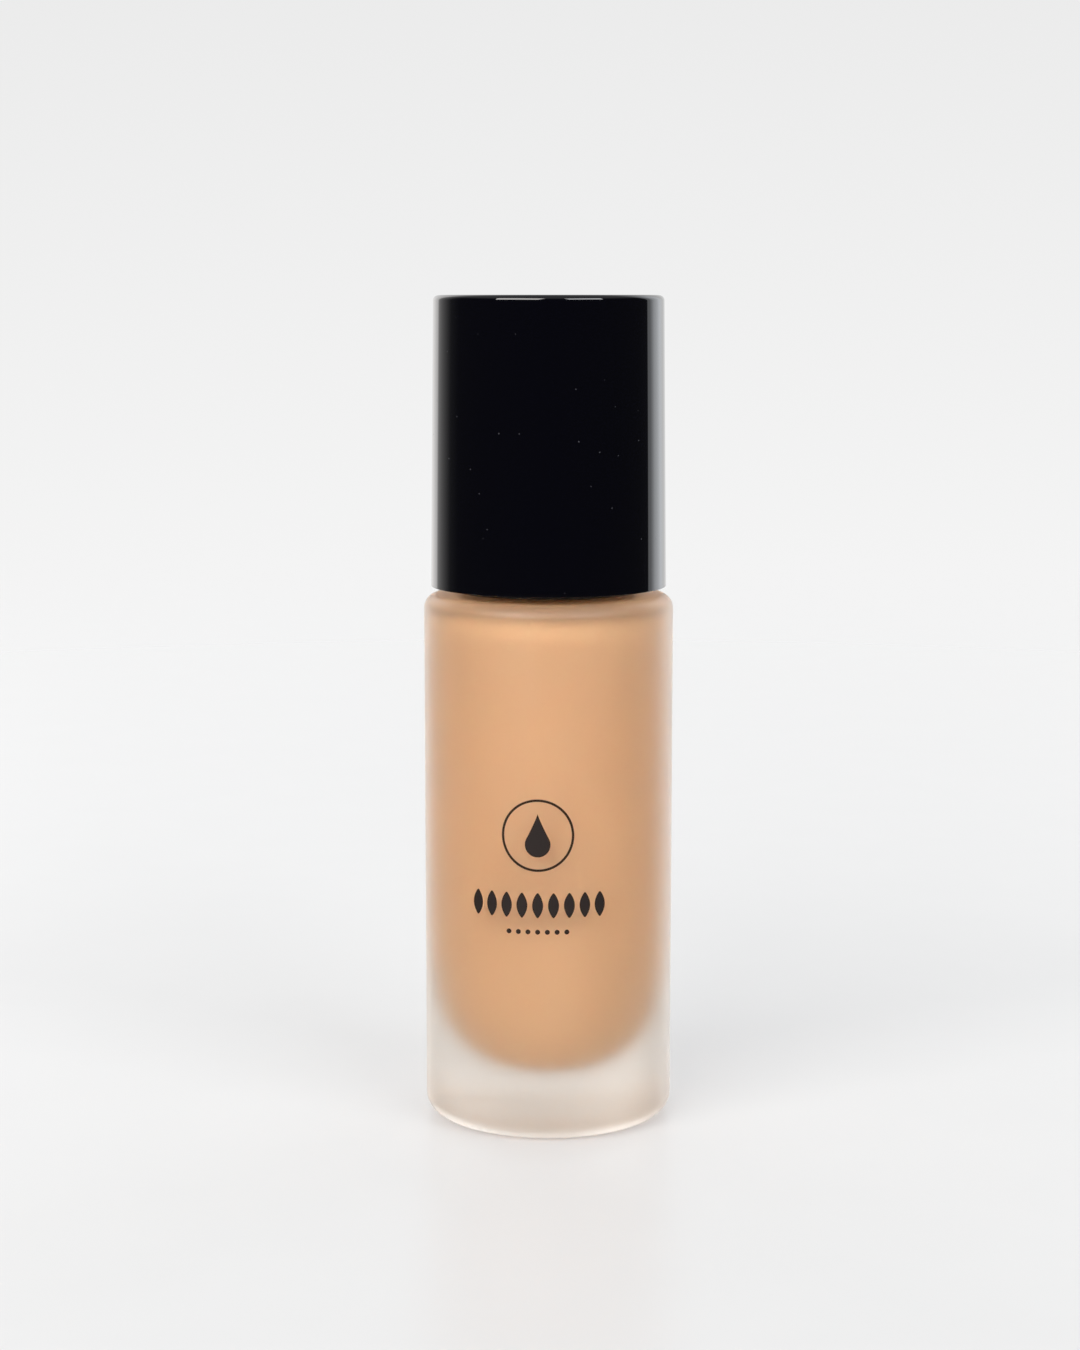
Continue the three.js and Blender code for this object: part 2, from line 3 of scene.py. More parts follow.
import bmesh
import bpy
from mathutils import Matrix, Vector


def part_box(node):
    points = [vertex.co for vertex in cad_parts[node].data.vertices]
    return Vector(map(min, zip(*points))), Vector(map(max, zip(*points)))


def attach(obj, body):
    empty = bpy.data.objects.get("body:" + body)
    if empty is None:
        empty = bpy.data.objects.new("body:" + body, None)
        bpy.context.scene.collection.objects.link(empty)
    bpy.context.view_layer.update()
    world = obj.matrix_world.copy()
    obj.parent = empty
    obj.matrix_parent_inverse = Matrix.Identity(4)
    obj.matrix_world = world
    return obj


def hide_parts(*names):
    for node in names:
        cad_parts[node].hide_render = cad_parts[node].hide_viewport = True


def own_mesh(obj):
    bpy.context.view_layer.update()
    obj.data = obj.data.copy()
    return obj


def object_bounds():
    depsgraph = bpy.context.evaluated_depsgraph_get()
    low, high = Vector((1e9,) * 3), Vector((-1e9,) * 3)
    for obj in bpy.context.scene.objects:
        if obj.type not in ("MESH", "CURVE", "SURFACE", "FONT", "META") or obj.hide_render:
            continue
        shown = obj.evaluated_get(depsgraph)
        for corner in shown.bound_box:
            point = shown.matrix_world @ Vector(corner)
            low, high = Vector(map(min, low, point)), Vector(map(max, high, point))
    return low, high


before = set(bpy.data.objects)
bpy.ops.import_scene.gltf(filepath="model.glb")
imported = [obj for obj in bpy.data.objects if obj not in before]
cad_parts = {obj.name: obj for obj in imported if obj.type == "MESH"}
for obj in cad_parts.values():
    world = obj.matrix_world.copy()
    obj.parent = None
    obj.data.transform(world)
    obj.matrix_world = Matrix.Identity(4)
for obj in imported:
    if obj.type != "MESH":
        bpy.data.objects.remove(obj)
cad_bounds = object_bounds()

# ------------------------------------------------------------------ camera
# A long lens set level with the cap's top, square to the printed front, and
# tilted down so that the foot and a little of the table are in view.
MM = 0.001
camera_distance = 381.5 * MM
camera_side = -1.2 * MM
camera_below_top = 0.1 * MM
camera_tilt = math.radians(7.92)

camera_data = bpy.data.cameras.new("camera")
camera_data.lens = 72.75
camera_data.sensor_width = 36.0
camera = bpy.data.objects.new("camera", camera_data)
camera.location = (camera_side, -camera_distance, cad_bounds[1][2] - camera_below_top)
camera.rotation_euler = (math.pi / 2 - camera_tilt, 0.0, 0.0)
bpy.context.scene.collection.objects.link(camera)
bpy.context.scene.camera = camera

# ------------------------------------------------------------------ glass bottle
# A heavy soda-lime glass bottle, blown in a mould. Its base is 7 mm thick and
# its floor is a rounded bowl. The outside is acid-etched, the inside is smooth.
LARGE_TURN = 160  # faces round a wide piece
SMALL_TURN = 96  # faces round a narrow piece
FILLET_STEP = math.radians(11)  # turn of each facet of a rounded corner


def rounded(corners):
    """An outline whose corners (radius, height, fillet) are rounded where a fillet is given."""
    points = []
    closed = corners[0][0] > 0
    for i, corner in enumerate(corners):
        here = corner[:2]
        fillet = corner[2] if len(corner) > 2 else 0
        if not fillet or (not closed and i in (0, len(corners) - 1)):
            points.append(here)
            continue
        before, after = corners[i - 1][:2], corners[(i + 1) % len(corners)][:2]
        to_before = (before[0] - here[0], before[1] - here[1])
        to_after = (after[0] - here[0], after[1] - here[1])
        length_before, length_after = math.hypot(*to_before), math.hypot(*to_after)
        u = (to_before[0] / length_before, to_before[1] / length_before)
        v = (to_after[0] / length_after, to_after[1] / length_after)
        half = math.acos(max(-1.0, min(1.0, u[0] * v[0] + u[1] * v[1]))) / 2
        reach = min(fillet / math.tan(half), 0.48 * length_before, 0.48 * length_after)
        radius = reach * math.tan(half)
        middle = (u[0] + v[0], u[1] + v[1])
        away = radius / math.sin(half) / math.hypot(*middle)
        centre = (here[0] + middle[0] * away, here[1] + middle[1] * away)
        start = math.atan2(here[1] + u[1] * reach - centre[1], here[0] + u[0] * reach - centre[0])
        end = math.atan2(here[1] + v[1] * reach - centre[1], here[0] + v[0] * reach - centre[0])
        turn = (end - start + math.pi) % (2 * math.pi) - math.pi
        steps = max(2, math.ceil(abs(turn) / FILLET_STEP))
        for k in range(steps + 1):
            angle = start + turn * k / steps
            points.append((centre[0] + radius * math.cos(angle), centre[1] + radius * math.sin(angle)))
    return points


def column(radius, foot, head, step):
    """Points up or down a straight wall, a step apart."""
    count = max(1, round(abs(head - foot) / step))
    return [(radius, foot + (head - foot) * k / count) for k in range(count + 1)]


def sealed(name, mesh, sharp=32.0):
    """An object of a closed mesh that is in millimetres, with its faces out and its hard edges kept."""
    bmesh.ops.remove_doubles(mesh, verts=mesh.verts, dist=1e-5)
    bmesh.ops.recalc_face_normals(mesh, faces=mesh.faces)
    bmesh.ops.scale(mesh, vec=(MM, MM, MM), verts=mesh.verts)
    data = bpy.data.meshes.new(name)
    mesh.to_mesh(data)
    mesh.free()
    data.shade_smooth()
    data.set_sharp_from_angle(angle=math.radians(sharp))
    made = bpy.data.objects.new(name, data)
    bpy.context.scene.collection.objects.link(made)
    return made


def spun(outline, turns=SMALL_TURN, swell=None):
    """A mesh turned from an outline of (radius, height), open on the axis or closed on itself."""
    mesh = bmesh.new()
    rings = []
    for radius, height in outline:
        if radius < 1e-6:
            rings.append([mesh.verts.new((0, 0, height))])
            continue
        ring = []
        for k in range(turns):
            angle = 2 * math.pi * k / turns
            there = radius + (swell(radius, height, angle) if swell else 0)
            ring.append(mesh.verts.new((there * math.cos(angle), there * math.sin(angle), height)))
        rings.append(ring)
    pairs = list(zip(rings, rings[1:]))
    if outline[0][0] > 1e-6:
        pairs.append((rings[-1], rings[0]))
    for low, high in pairs:
        for k in range(turns):
            corners = [low[k % len(low)], low[(k + 1) % len(low)]]
            corners += [high[(k + 1) % len(high)], high[k % len(high)]]
            face = list(dict.fromkeys(corners))
            if len(face) > 2:
                mesh.faces.new(face)
    return mesh


def belongs(piece, body, slot, *nodes):
    """Hangs a finished piece on its body's empty and hides the CAD pieces that it stands for. The slot is
    not used.
    """
    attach(piece, body)
    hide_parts(*nodes)


def colour(text):
    """Linear colour of an sRGB hex value."""
    channels = [int(text[i:i + 2], 16) / 255 for i in (1, 3, 5)]
    return [c / 12.92 if c <= 0.04045 else ((c + 0.055) / 1.055) ** 2.4 for c in channels] + [1.0]


def add(tree, kind, sockets=(), **settings):
    """Adds a node with its settings. A socket takes a value, or another node's output."""
    made = tree.nodes.new("ShaderNode" + kind)
    for key, value in settings.items():
        setattr(made, key, value)
    for key, value in dict(sockets).items():
        if isinstance(value, bpy.types.NodeSocket):
            tree.links.new(value, made.inputs[key])
        else:
            made.inputs[key].default_value = value
    return made


def material(name):
    """An empty material and its node tree."""
    made = bpy.data.materials.new(name)
    made.use_nodes = True
    made.node_tree.nodes.clear()
    return made, made.node_tree


def in_mm(tree):
    """The piece's own coordinates in millimetres, so that a pattern's scale is one over its size."""
    place = add(tree, "TexCoord").outputs["Object"]
    return add(tree, "VectorMath", {0: place, "Scale": 1 / MM}, operation="SCALE").outputs[0]


glass_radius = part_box("bottle_glass")[1].x / MM
neck_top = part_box("bottle_glass")[1].z / MM
shoulder_height = 74.5
glass_wall = 4.2
glass_floor = 7.4
bowl_depth = 30.0
bowl_squareness = 2.8  # 2 is an ellipse, more is fuller in the corner
inner_radius = glass_radius - glass_wall
inner_ceiling = shoulder_height - 1.1
inner_fillet = 2.0
neck_radius = 7.9
neck_bore = 5.0
heel_fillet = 3.4
punt_radius = 11.4
punt_depth = 0.7
thread_pitch = 3.175
thread_turns = 1.5
thread_depth = 0.95
thread_start = neck_top - 1.6 - thread_turns * thread_pitch
THREAD_ROW = 0.16  # height of the rows that the thread is drawn with


def thread_rise(height, angle, start, root_width, crest_width):
    """Share, from 0 to 1, by which a helical ridge stands out at a height and an angle."""
    best = 0.0
    first = angle / (2 * math.pi)
    for whole in range(math.ceil(thread_turns) + 1):
        turn = first + whole
        if not 0 <= turn <= thread_turns:
            continue
        off = abs(height - start - turn * thread_pitch)
        flank = (root_width / 2 - off) / ((root_width - crest_width) / 2)
        fade = min(1.0, min(turn, thread_turns - turn) / 0.12)
        best = max(best, min(1.0, max(0.0, flank)) * fade)
    return best


def neck_thread(radius, height, angle):
    if abs(radius - neck_radius) > 0.01 or height < thread_start - 2:
        return 0.0
    return thread_depth * thread_rise(height, angle, thread_start, 1.9, 1.0)


def bowl(radius, floor, depth, steps=26):
    """The rounded inner floor, from the wall down to the axis."""
    power = 2 / bowl_squareness
    angles = [math.pi / 2 * k / steps for k in range(steps)]
    points = [(radius * math.cos(a) ** power, floor + depth * (1 - math.sin(a) ** power)) for a in angles]
    return points + [(0, floor)]


outside = rounded([
    (0, punt_depth),
    (punt_radius - 0.3, punt_depth, 0.5),
    (punt_radius + 0.3, 0, 0.5),
    (glass_radius, 0, heel_fillet),
    (glass_radius, shoulder_height, 2.0),
    (neck_radius, shoulder_height, 0.7),
    (neck_radius, thread_start - 2),
])
outside += column(neck_radius, thread_start - 2, neck_top - 0.7, THREAD_ROW)
inside = rounded([
    (0, neck_top),
    (neck_radius, neck_top, 0.6),
    (neck_radius, neck_top - 3),
])[1:-1][::-1]
inside += rounded([
    (0, neck_top),
    (neck_bore, neck_top, 0.4),
    (neck_bore, inner_ceiling, 0.8),
    (inner_radius, inner_ceiling, inner_fillet),
    (inner_radius, glass_floor + bowl_depth),
])[1:-1]
inside += bowl(inner_radius, glass_floor, bowl_depth)
bottle = sealed("bottle_glass_etched", spun(outside + inside, LARGE_TURN, neck_thread))

# Acid-etched glass: the etch leaves a skin of fine pits, so light goes through
# but is spread, and there are no sharp glints. The wall is milkier seen edge-on.
etched, tree = material("etched_glass")
place = in_mm(tree)
etch_grain = add(tree, "TexNoise", {"Vector": place, "Scale": 4.0, "Detail": 4.0, "Roughness": 0.65})
etch_patch = add(tree, "TexNoise", {"Vector": place, "Scale": 0.11, "Detail": 2.0})
etch_blur = add(tree, "MapRange", {"Value": etch_patch.outputs["Fac"], "To Min": 0.42, "To Max": 0.5})
etch_bump = add(tree, "Bump", {
    "Height": etch_grain.outputs["Fac"], "Strength": 0.12, "Distance": 0.02 * MM,
})
edge_on = add(tree, "LayerWeight", {"Blend": 0.5})
grazing = add(tree, "Math", {0: edge_on.outputs["Facing"], 1: 3.0}, operation="POWER")
facing_up = add(tree, "SeparateXYZ", {0: add(tree, "NewGeometry").outputs["Normal"]}).outputs["Z"]
tilt = add(tree, "Math", {0: facing_up}, operation="ABSOLUTE")
upright = add(tree, "Math", {0: 1.0, 1: tilt.outputs[0]}, operation="SUBTRACT")
wall_haze = add(tree, "Math", {0: grazing.outputs[0], 1: upright.outputs[0]}, operation="MULTIPLY")
haze = add(tree, "MapRange", {"Value": wall_haze.outputs[0], "To Min": 0.96, "To Max": 0.4})
surface = add(tree, "BsdfPrincipled", {
    "Base Color": colour("#F6F0E8"),
    "Roughness": etch_blur.outputs[0],
    "IOR": 1.5,
    "Transmission Weight": haze.outputs[0],
    "Normal": etch_bump.outputs[0],
})
add(tree, "OutputMaterial", {"Surface": surface.outputs[0]})

# Fire-polished inside: smooth and bright, with the slight waviness of blown glass.
polished, tree = material("fire_polished_glass")
wave = add(tree, "TexNoise", {"Vector": in_mm(tree), "Scale": 0.25, "Detail": 1.0})
wave_bump = add(tree, "Bump", {"Height": wave.outputs["Fac"], "Strength": 0.1, "Distance": 0.1 * MM})
surface = add(tree, "BsdfPrincipled", {
    "Base Color": colour("#FDFDFB"),
    "Roughness": 0.02,
    "IOR": 1.5,
    "Transmission Weight": 1.0,
    "Normal": wave_bump.outputs[0],
})
add(tree, "OutputMaterial", {"Surface": surface.outputs[0]})

bottle.data.materials.append(etched)
bottle.data.materials.append(polished)
for face in bottle.data.polygons:
    middle = face.center / MM
    across = math.hypot(middle.x, middle.y)
    inner = across < inner_radius + 0.3 and middle.z > glass_floor - 0.5
    face.material_index = 1 if inner and (middle.z < inner_ceiling + 0.3 or across < neck_bore + 0.1) else 0
belongs(bottle, "bottle", "frosted_glass", "bottle_glass")

# ------------------------------------------------------------------ foundation
# The filling, a thick beige emulsion. It wets the glass, so nothing shines
# between the two, and it leaves a film on the wall above its surface.
fill_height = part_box("foundation_liquid")[1].z / MM
wetting = 0.03  # how far it is drawn into the wall, so that no air lies between
film = 0.25
coat = 1.3  # thickness of what clings below the shoulder
neck_film_head = shoulder_height + 6
well_tube = 1.9
well_socket = 3.15
well_step = 64.5
well_foot = glass_floor + 0.8
filling = bowl(inner_radius + wetting, glass_floor - wetting, bowl_depth)[::-1]
filling += rounded([
    (inner_radius + wetting, glass_floor + bowl_depth),
    (inner_radius + wetting, inner_ceiling + wetting, inner_fillet),
    (neck_bore + wetting, inner_ceiling + wetting),
    (neck_bore + wetting, neck_film_head),
    (neck_bore + wetting - film, neck_film_head),
    (neck_bore + wetting - film, inner_ceiling + wetting - coat, 0.1),
    (inner_radius + wetting - coat, inner_ceiling + wetting - coat, inner_fillet - coat),
    (inner_radius + wetting - coat, fill_height, 0.1),
    (well_socket, fill_height),
    (well_socket, well_step),
    (well_tube, well_step),
    (well_tube, well_foot),
    (0, well_foot),
])[1:]
foundation = sealed("foundation_filling", spun(filling, LARGE_TURN))

# Foundation emulsion: opaque pigment in a creamy base. Light goes a little way
# in, so it has a soft warm glow and faint swirls from being shaken.
emulsion, tree = material("foundation_emulsion")
place = in_mm(tree)
stretched = add(tree, "Mapping", {"Vector": place, "Scale": (1.0, 1.0, 0.35)})
swirl = add(tree, "TexNoise", {
    "Vector": stretched.outputs[0], "Scale": 0.09, "Detail": 3.0, "Distortion": 1.5,
})
shades = add(tree, "ValToRGB", {"Fac": swirl.outputs["Fac"]})
shades.color_ramp.elements[0].position = 0.3
shades.color_ramp.elements[0].color = colour("#F7C493")
shades.color_ramp.elements[1].position = 0.7
shades.color_ramp.elements[1].color = colour("#FBC999")
surface = add(tree, "BsdfPrincipled", {
    "Base Color": shades.outputs[0],
    "Roughness": 0.4,
    "IOR": 1.4,
    "Specular IOR Level": 0.1,
    "Subsurface Weight": 0.15,
    "Subsurface Radius": (2.0, 1.0, 0.5),
    "Subsurface Scale": MM,
})
add(tree, "OutputMaterial", {"Surface": surface.outputs[0]})
foundation.data.materials.append(emulsion)
belongs(foundation, "bottle", "foundation", "foundation_liquid")

# ------------------------------------------------------------------ printed ornament
# One-colour screen print on the front of the glass: a ring round a drop, a row of
# leaves and a row of beads. The cured ink stands a few hundredths of a millimetre
# proud. The bottle is turned a little, so the print is left of the middle.
ink_height = 0.03
ink_sink = 0.01
print_turn = math.radians(-5.0)
ring_centre = 43.2
ring_outer = 5.0
ring_line = 0.32
drop_height = 6.0
drop_radius = 1.75
frieze_height = 33.5
frieze_length = 17.4
frieze_leaves = 9
leaf_size = (1.5, 3.6)  # width, height
bead_height = 29.8
bead_length = 8.0
bead_count = 7
bead_radius = 0.34


def inked(name, loops):
    """A thin film on the glass. Each row of loops goes across the film, and is bent round the bottle."""
    mesh = bmesh.new()
    layers = []
    for lift in (-ink_sink, ink_height):
        reach = glass_radius + lift
        layer = []
        for row in loops:
            angles = [x / glass_radius + print_turn for x, _ in row]
            heights = [z for _, z in row]
            layer.append([
                mesh.verts.new((reach * math.sin(a), -reach * math.cos(a), z))
                for a, z in zip(angles, heights)
            ])
        layers.append(layer)
    closed = loops[0] == loops[-1]
    count = len(loops) - 1
    for layer, flip in ((layers[0], True), (layers[1], False)):
        for i in range(count):
            for k in range(len(loops[0]) - 1):
                quad = [layer[i][k], layer[i + 1][k], layer[i + 1][k + 1], layer[i][k + 1]]
                mesh.faces.new(quad[::-1] if flip else quad)
    low, high = layers
    for i in range(count):
        for k in (0, -1):
            mesh.faces.new([low[i][k], low[i + 1][k], high[i + 1][k], high[i][k]])
    if not closed:
        for i in (0, -1):
            for k in range(len(loops[0]) - 1):
                mesh.faces.new([low[i][k], low[i][k + 1], high[i][k + 1], high[i][k]])
    return sealed(name, mesh)


def ring_rows(centre, radius, line, steps=96):
    rows = []
    for k in range(steps + 1):
        angle = 2 * math.pi * (k % steps) / steps
        rows.append([
            (r * math.sin(angle), centre + r * math.cos(angle))
            for r in (radius - line, radius)
        ])
    return rows


def drop_rows(centre, height, radius, steps=40):
    """A drop, pointed above and round below, as rows from its left edge to its right."""
    rows = []
    foot = centre - height / 2
    tip = foot + height
    middle = foot + radius
    tangent = math.asin(radius / (tip - middle))
    side_top = middle + radius * math.sin(tangent)
    for k in range(steps + 1):
        share = 0.5 - 0.5 * math.cos(math.pi * (0.03 + 0.96 * k / steps))
        z = foot + (tip - foot) * share
        if z < side_top:
            half = math.sqrt(max(0.0, radius ** 2 - (z - middle) ** 2))
        else:
            half = radius * math.cos(tangent) * ((tip - z) / (tip - side_top)) ** 1.15
        rows.append([(half * (j / 6 - 1), z) for j in range(13)])
    return rows


def leaf_rows(x, height, width, tall, steps=16):
    """An upright leaf, pointed above and below, as rows from its foot to its tip."""
    rows = []
    for k in range(steps + 1):
        share = 0.02 + 0.96 * k / steps
        half = width / 2 * math.sin(math.pi * share) ** 0.8
        z = height + tall * (share - 0.5)
        rows.append([(x + half * (j / 2 - 1), z) for j in range(5)])
    return rows


def bead_rows(x, height, radius, steps=16):
    """A round dot, as rows from its foot to its head."""
    rows = []
    for k in range(steps + 1):
        lean = math.pi * (0.03 + 0.94 * k / steps)
        half = radius * math.sin(lean)
        rows.append([(x + half * (j / 2 - 1), height - radius * math.cos(lean)) for j in range(5)])
    return rows


def evenly(count, length):
    """Centres of a row of marks, evenly spaced about the middle."""
    return [length * (k / (count - 1) - 0.5) for k in range(count)]


# Screen-printed ink: a dense brown-black, dry and slightly uneven where it
# went through the mesh of the screen.
ink, tree = material("screen_printed_ink")
place = in_mm(tree)
screen = add(tree, "TexNoise", {"Vector": place, "Scale": 7.0, "Detail": 2.0})
ink_shade = add(tree, "Mix", {
    "Factor": screen.outputs["Fac"], "A": colour("#1D1513"), "B": colour("#2B201D"),
}, data_type="RGBA")
ink_bump = add(tree, "Bump", {"Height": screen.outputs["Fac"], "Strength": 0.25, "Distance": 0.01 * MM})
surface = add(tree, "BsdfPrincipled", {
    "Base Color": ink_shade.outputs["Result"],
    "Roughness": 0.5,
    "IOR": 1.5,
    "Normal": ink_bump.outputs[0],
})
add(tree, "OutputMaterial", {"Surface": surface.outputs[0]})

prints = [
    inked("print_ring", ring_rows(ring_centre, ring_outer, ring_line)),
    inked("print_drop", drop_rows(ring_centre, drop_height, drop_radius)),
] + [
    inked(f"print_leaf_{k + 1}", leaf_rows(x, frieze_height, *leaf_size))
    for k, x in enumerate(evenly(frieze_leaves, frieze_length))
] + [
    inked(f"print_bead_{k + 1}", bead_rows(x, bead_height, bead_radius))
    for k, x in enumerate(evenly(bead_count, bead_length))
]
for piece in prints:
    piece.data.materials.append(ink)
    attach(piece, "bottle")

# ------------------------------------------------------------------ overcap shell
# The tall cap's outer shell, moulded in black ABS against a polished steel
# mould. It has a flat top, a small rounded rim and a slight draft.
cap_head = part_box("cap_shell")[1].z / MM
cap_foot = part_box("cap_shell")[0].z / MM
cap_foot_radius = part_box("cap_shell")[1].x / MM
cap_draft = 0.45
cap_fillet = 0.8
cap_bore = 15.1
cap_ceiling = cap_head - 1.6
cap_top_radius = cap_foot_radius - cap_draft

shell = sealed("cap_shell_gloss", spun(rounded([
    (0, cap_ceiling),
    (cap_bore, cap_ceiling, 0.2),
    (cap_bore, cap_foot, 0.15),
    (cap_foot_radius, cap_foot, 0.08),
    (cap_top_radius, cap_head, cap_fillet),
    (0, cap_head),
]), LARGE_TURN))


def gloss_black(name, low, high, blur):
    """Polished black ABS: a deep black with a mirror-like skin, a few hair scratches
    that run up and down, and specks of dust."""
    made, tree = material(name)
    place = in_mm(tree)
    spot = add(tree, "SeparateXYZ", {0: place})
    around = add(tree, "Math", {0: spot.outputs["Y"], 1: spot.outputs["X"]}, operation="ARCTAN2")
    arc_length = add(tree, "Math", {0: around.outputs[0], 1: cap_foot_radius}, operation="MULTIPLY")
    long_height = add(tree, "Math", {0: spot.outputs["Z"], 1: 0.04}, operation="MULTIPLY")
    unrolled = add(tree, "CombineXYZ", {"X": arc_length.outputs[0], "Y": long_height.outputs[0]})
    hair = add(tree, "TexNoise", {
        "Vector": unrolled.outputs[0], "Scale": 2.2, "Detail": 5.0, "Roughness": 0.7,
    })
    scratch = add(tree, "MapRange", {
        "Value": hair.outputs["Fac"], "From Min": 0.62, "From Max": 0.72,
    })
    handled = add(tree, "TexNoise", {"Vector": place, "Scale": 0.09, "Detail": 2.0})
    worn = add(tree, "MapRange", {"Value": handled.outputs["Fac"], "To Min": blur, "To Max": blur * 2.2})
    rough = add(tree, "Math", {
        0: scratch.outputs[0], 1: 0.06, 2: worn.outputs[0],
    }, operation="MULTIPLY_ADD")
    cells = add(tree, "TexVoronoi", {"Vector": place, "Scale": 0.45})
    dust = add(tree, "MapRange", {
        "Value": cells.outputs["Distance"],
        "From Min": 0.03,
        "From Max": 0.055,
        "To Min": 1.0,
        "To Max": 0.0,
    })
    shade = add(tree, "Mix", {
        "Factor": dust.outputs[0], "A": colour(low), "B": colour(high),
    }, data_type="RGBA")
    dusty = add(tree, "Math", {0: dust.outputs[0], 1: 0.4, 2: rough.outputs[0]}, operation="MULTIPLY_ADD")
    ripple = add(tree, "TexNoise", {"Vector": place, "Scale": 0.05, "Detail": 1.0})
    flow = add(tree, "Bump", {"Height": ripple.outputs["Fac"], "Strength": 0.03, "Distance": 0.5 * MM})
    surface = add(tree, "BsdfPrincipled", {
        "Base Color": shade.outputs["Result"],
        "Roughness": dusty.outputs[0],
        "IOR": 1.52,
        "Normal": flow.outputs[0],
    })
    add(tree, "OutputMaterial", {"Surface": surface.outputs[0]})
    return made


# Polished black ABS: almost a mirror, so the cap shows the room as clean bands.
polished_abs = gloss_black("polished_black_abs", "#030308", "#3E3E44", 0.012)
shell.data.materials.append(polished_abs)
belongs(shell, "cap", "black_gloss", "cap_shell")

# ------------------------------------------------------------------ overcap liner
# A cup of black polypropylene snapped into the shell. Twelve ribs grip the
# collar, and a step inside it lands on the collar's top.
liner_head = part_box("cap_liner")[1].z / MM
liner_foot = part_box("cap_liner")[0].z / MM
liner_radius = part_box("cap_liner")[1].x / MM
liner_bore = liner_radius - 0.9
liner_ceiling = liner_head - 1.0
collar_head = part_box("collar_cover")[1].z / MM
liner_seat = collar_head + 0.1
liner_seat_bore = 12.55
liner_ribs = 12
liner_rib_width = 1.0
liner_rib_rise = 0.5


def ribbed(at_radius, rise, count, width, foot, head):
    """A swell of upright ribs on the wall at a radius, between two heights."""
    def swell(radius, height, angle):
        if abs(radius - at_radius) > 0.01 or not foot < height < head:
            return 0.0
        pitch = 2 * math.pi / count
        off = abs((angle % pitch) - pitch / 2) * at_radius
        flank = (width / 2 + 0.12 - off) / 0.24
        return rise * min(1.0, max(0.0, flank))
    return swell


def with_rows(outline, radius, heights):
    """The outline with extra points on its upright wall at a radius."""
    made = []
    for here, there in zip(outline, outline[1:] + outline[:1]):
        made.append(here)
        if abs(here[0] - radius) > 0.01 or abs(there[0] - radius) > 0.01:
            continue
        low, high = sorted((here[1], there[1]))
        between = sorted((z for z in heights if low < z < high), reverse=there[1] < here[1])
        made += [(radius, z) for z in between]
    return made


liner_outline = rounded([
    (0, liner_ceiling),
    (liner_seat_bore, liner_ceiling, 0.3),
    (liner_seat_bore, liner_seat, 0.15),
    (liner_bore, liner_seat),
    (liner_bore, liner_foot, 0.2),
    (liner_radius, liner_foot, 0.2),
    (liner_radius, liner_head, 0.3),
    (0, liner_head),
])
rib_ends = (liner_foot + 0.5, liner_foot + 0.9, liner_seat - 0.9, liner_seat - 0.5)
liner_outline = with_rows(liner_outline, liner_bore, rib_ends)
liner = sealed("cap_liner_moulded", spun(liner_outline, 240, ribbed(
    liner_bore, -liner_rib_rise, liner_ribs, liner_rib_width, liner_foot + 0.6, liner_seat - 0.6,
)))


def moulded(name, low, high, blur, grain=1.2, see_through=0.0, ior=1.49, milky=0.0):
    """A moulded plastic: two close shades in slow clouds, a fine texture left by the
    mould, and a blur that varies a little. It may let light through or be waxy."""
    made, tree = material(name)
    place = in_mm(tree)
    cloud = add(tree, "TexNoise", {"Vector": place, "Scale": 0.15, "Detail": 2.0})
    shade = add(tree, "Mix", {
        "Factor": cloud.outputs["Fac"], "A": colour(low), "B": colour(high),
    }, data_type="RGBA")
    texture = add(tree, "TexNoise", {"Vector": place, "Scale": grain * 4, "Detail": 3.0})
    rough = add(tree, "MapRange", {
        "Value": texture.outputs["Fac"], "To Min": blur - 0.06, "To Max": blur + 0.06,
    })
    bump = add(tree, "Bump", {"Height": texture.outputs["Fac"], "Strength": 0.15, "Distance": 0.02 * MM})
    surface = add(tree, "BsdfPrincipled", {
        "Base Color": shade.outputs["Result"],
        "Roughness": rough.outputs[0],
        "IOR": ior,
        "Transmission Weight": see_through,
        "Subsurface Weight": milky,
        "Subsurface Radius": (1.0, 0.8, 0.6),
        "Subsurface Scale": MM,
        "Normal": bump.outputs[0],
    })
    add(tree, "OutputMaterial", {"Surface": surface.outputs[0]})
    return made


# Satin black polypropylene: a soft sheen that keeps the inside of the cap dark.
black_pp = moulded("satin_black_polypropylene", "#141417", "#1B1B1F", 0.38)
liner.data.materials.append(black_pp)
belongs(liner, "cap", "black_liner", "cap_liner")

# ------------------------------------------------------------------ collar cover
# A smooth black ABS sleeve pressed over the screw closure. It hides the grip
# ribs, and the overcap slides on it.
collar_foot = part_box("collar_cover")[0].z / MM
collar_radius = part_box("collar_cover")[1].x / MM
collar_bore = collar_radius - 1.2
collar_hole = 5.4
collar_ceiling = collar_head - 1.0

collar = sealed("collar_cover_gloss", spun(rounded([
    (collar_radius, collar_foot, 0.2),
    (collar_radius, collar_head, 0.5),
    (collar_hole, collar_head, 0.25),
    (collar_hole, collar_ceiling),
    (collar_bore, collar_ceiling, 0.2),
    (collar_bore, collar_foot, 0.15),
]), LARGE_TURN))
# Rubbed black ABS: as black as the cap, but the liner's ribs have blurred its shine.
rubbed_abs = gloss_black("rubbed_black_abs", "#09090D", "#46464C", 0.07)
collar.data.materials.append(rubbed_abs)
belongs(collar, "closure", "black_gloss", "collar_cover")

# ------------------------------------------------------------------ screw closure
# The white polypropylene cap that holds the pump on the neck, with a moulded
# 18 mm thread inside and 24 grip ribs outside.
closure_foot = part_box("screw_closure")[0].z / MM
closure_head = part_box("screw_closure")[1].z / MM
closure_bore = neck_radius + thread_depth + 0.3
closure_radius = closure_bore + 1.4
closure_hole = 5.7
closure_ceiling = closure_head - 1.2
closure_ribs = 24
closure_thread_start = thread_start - thread_pitch / 2


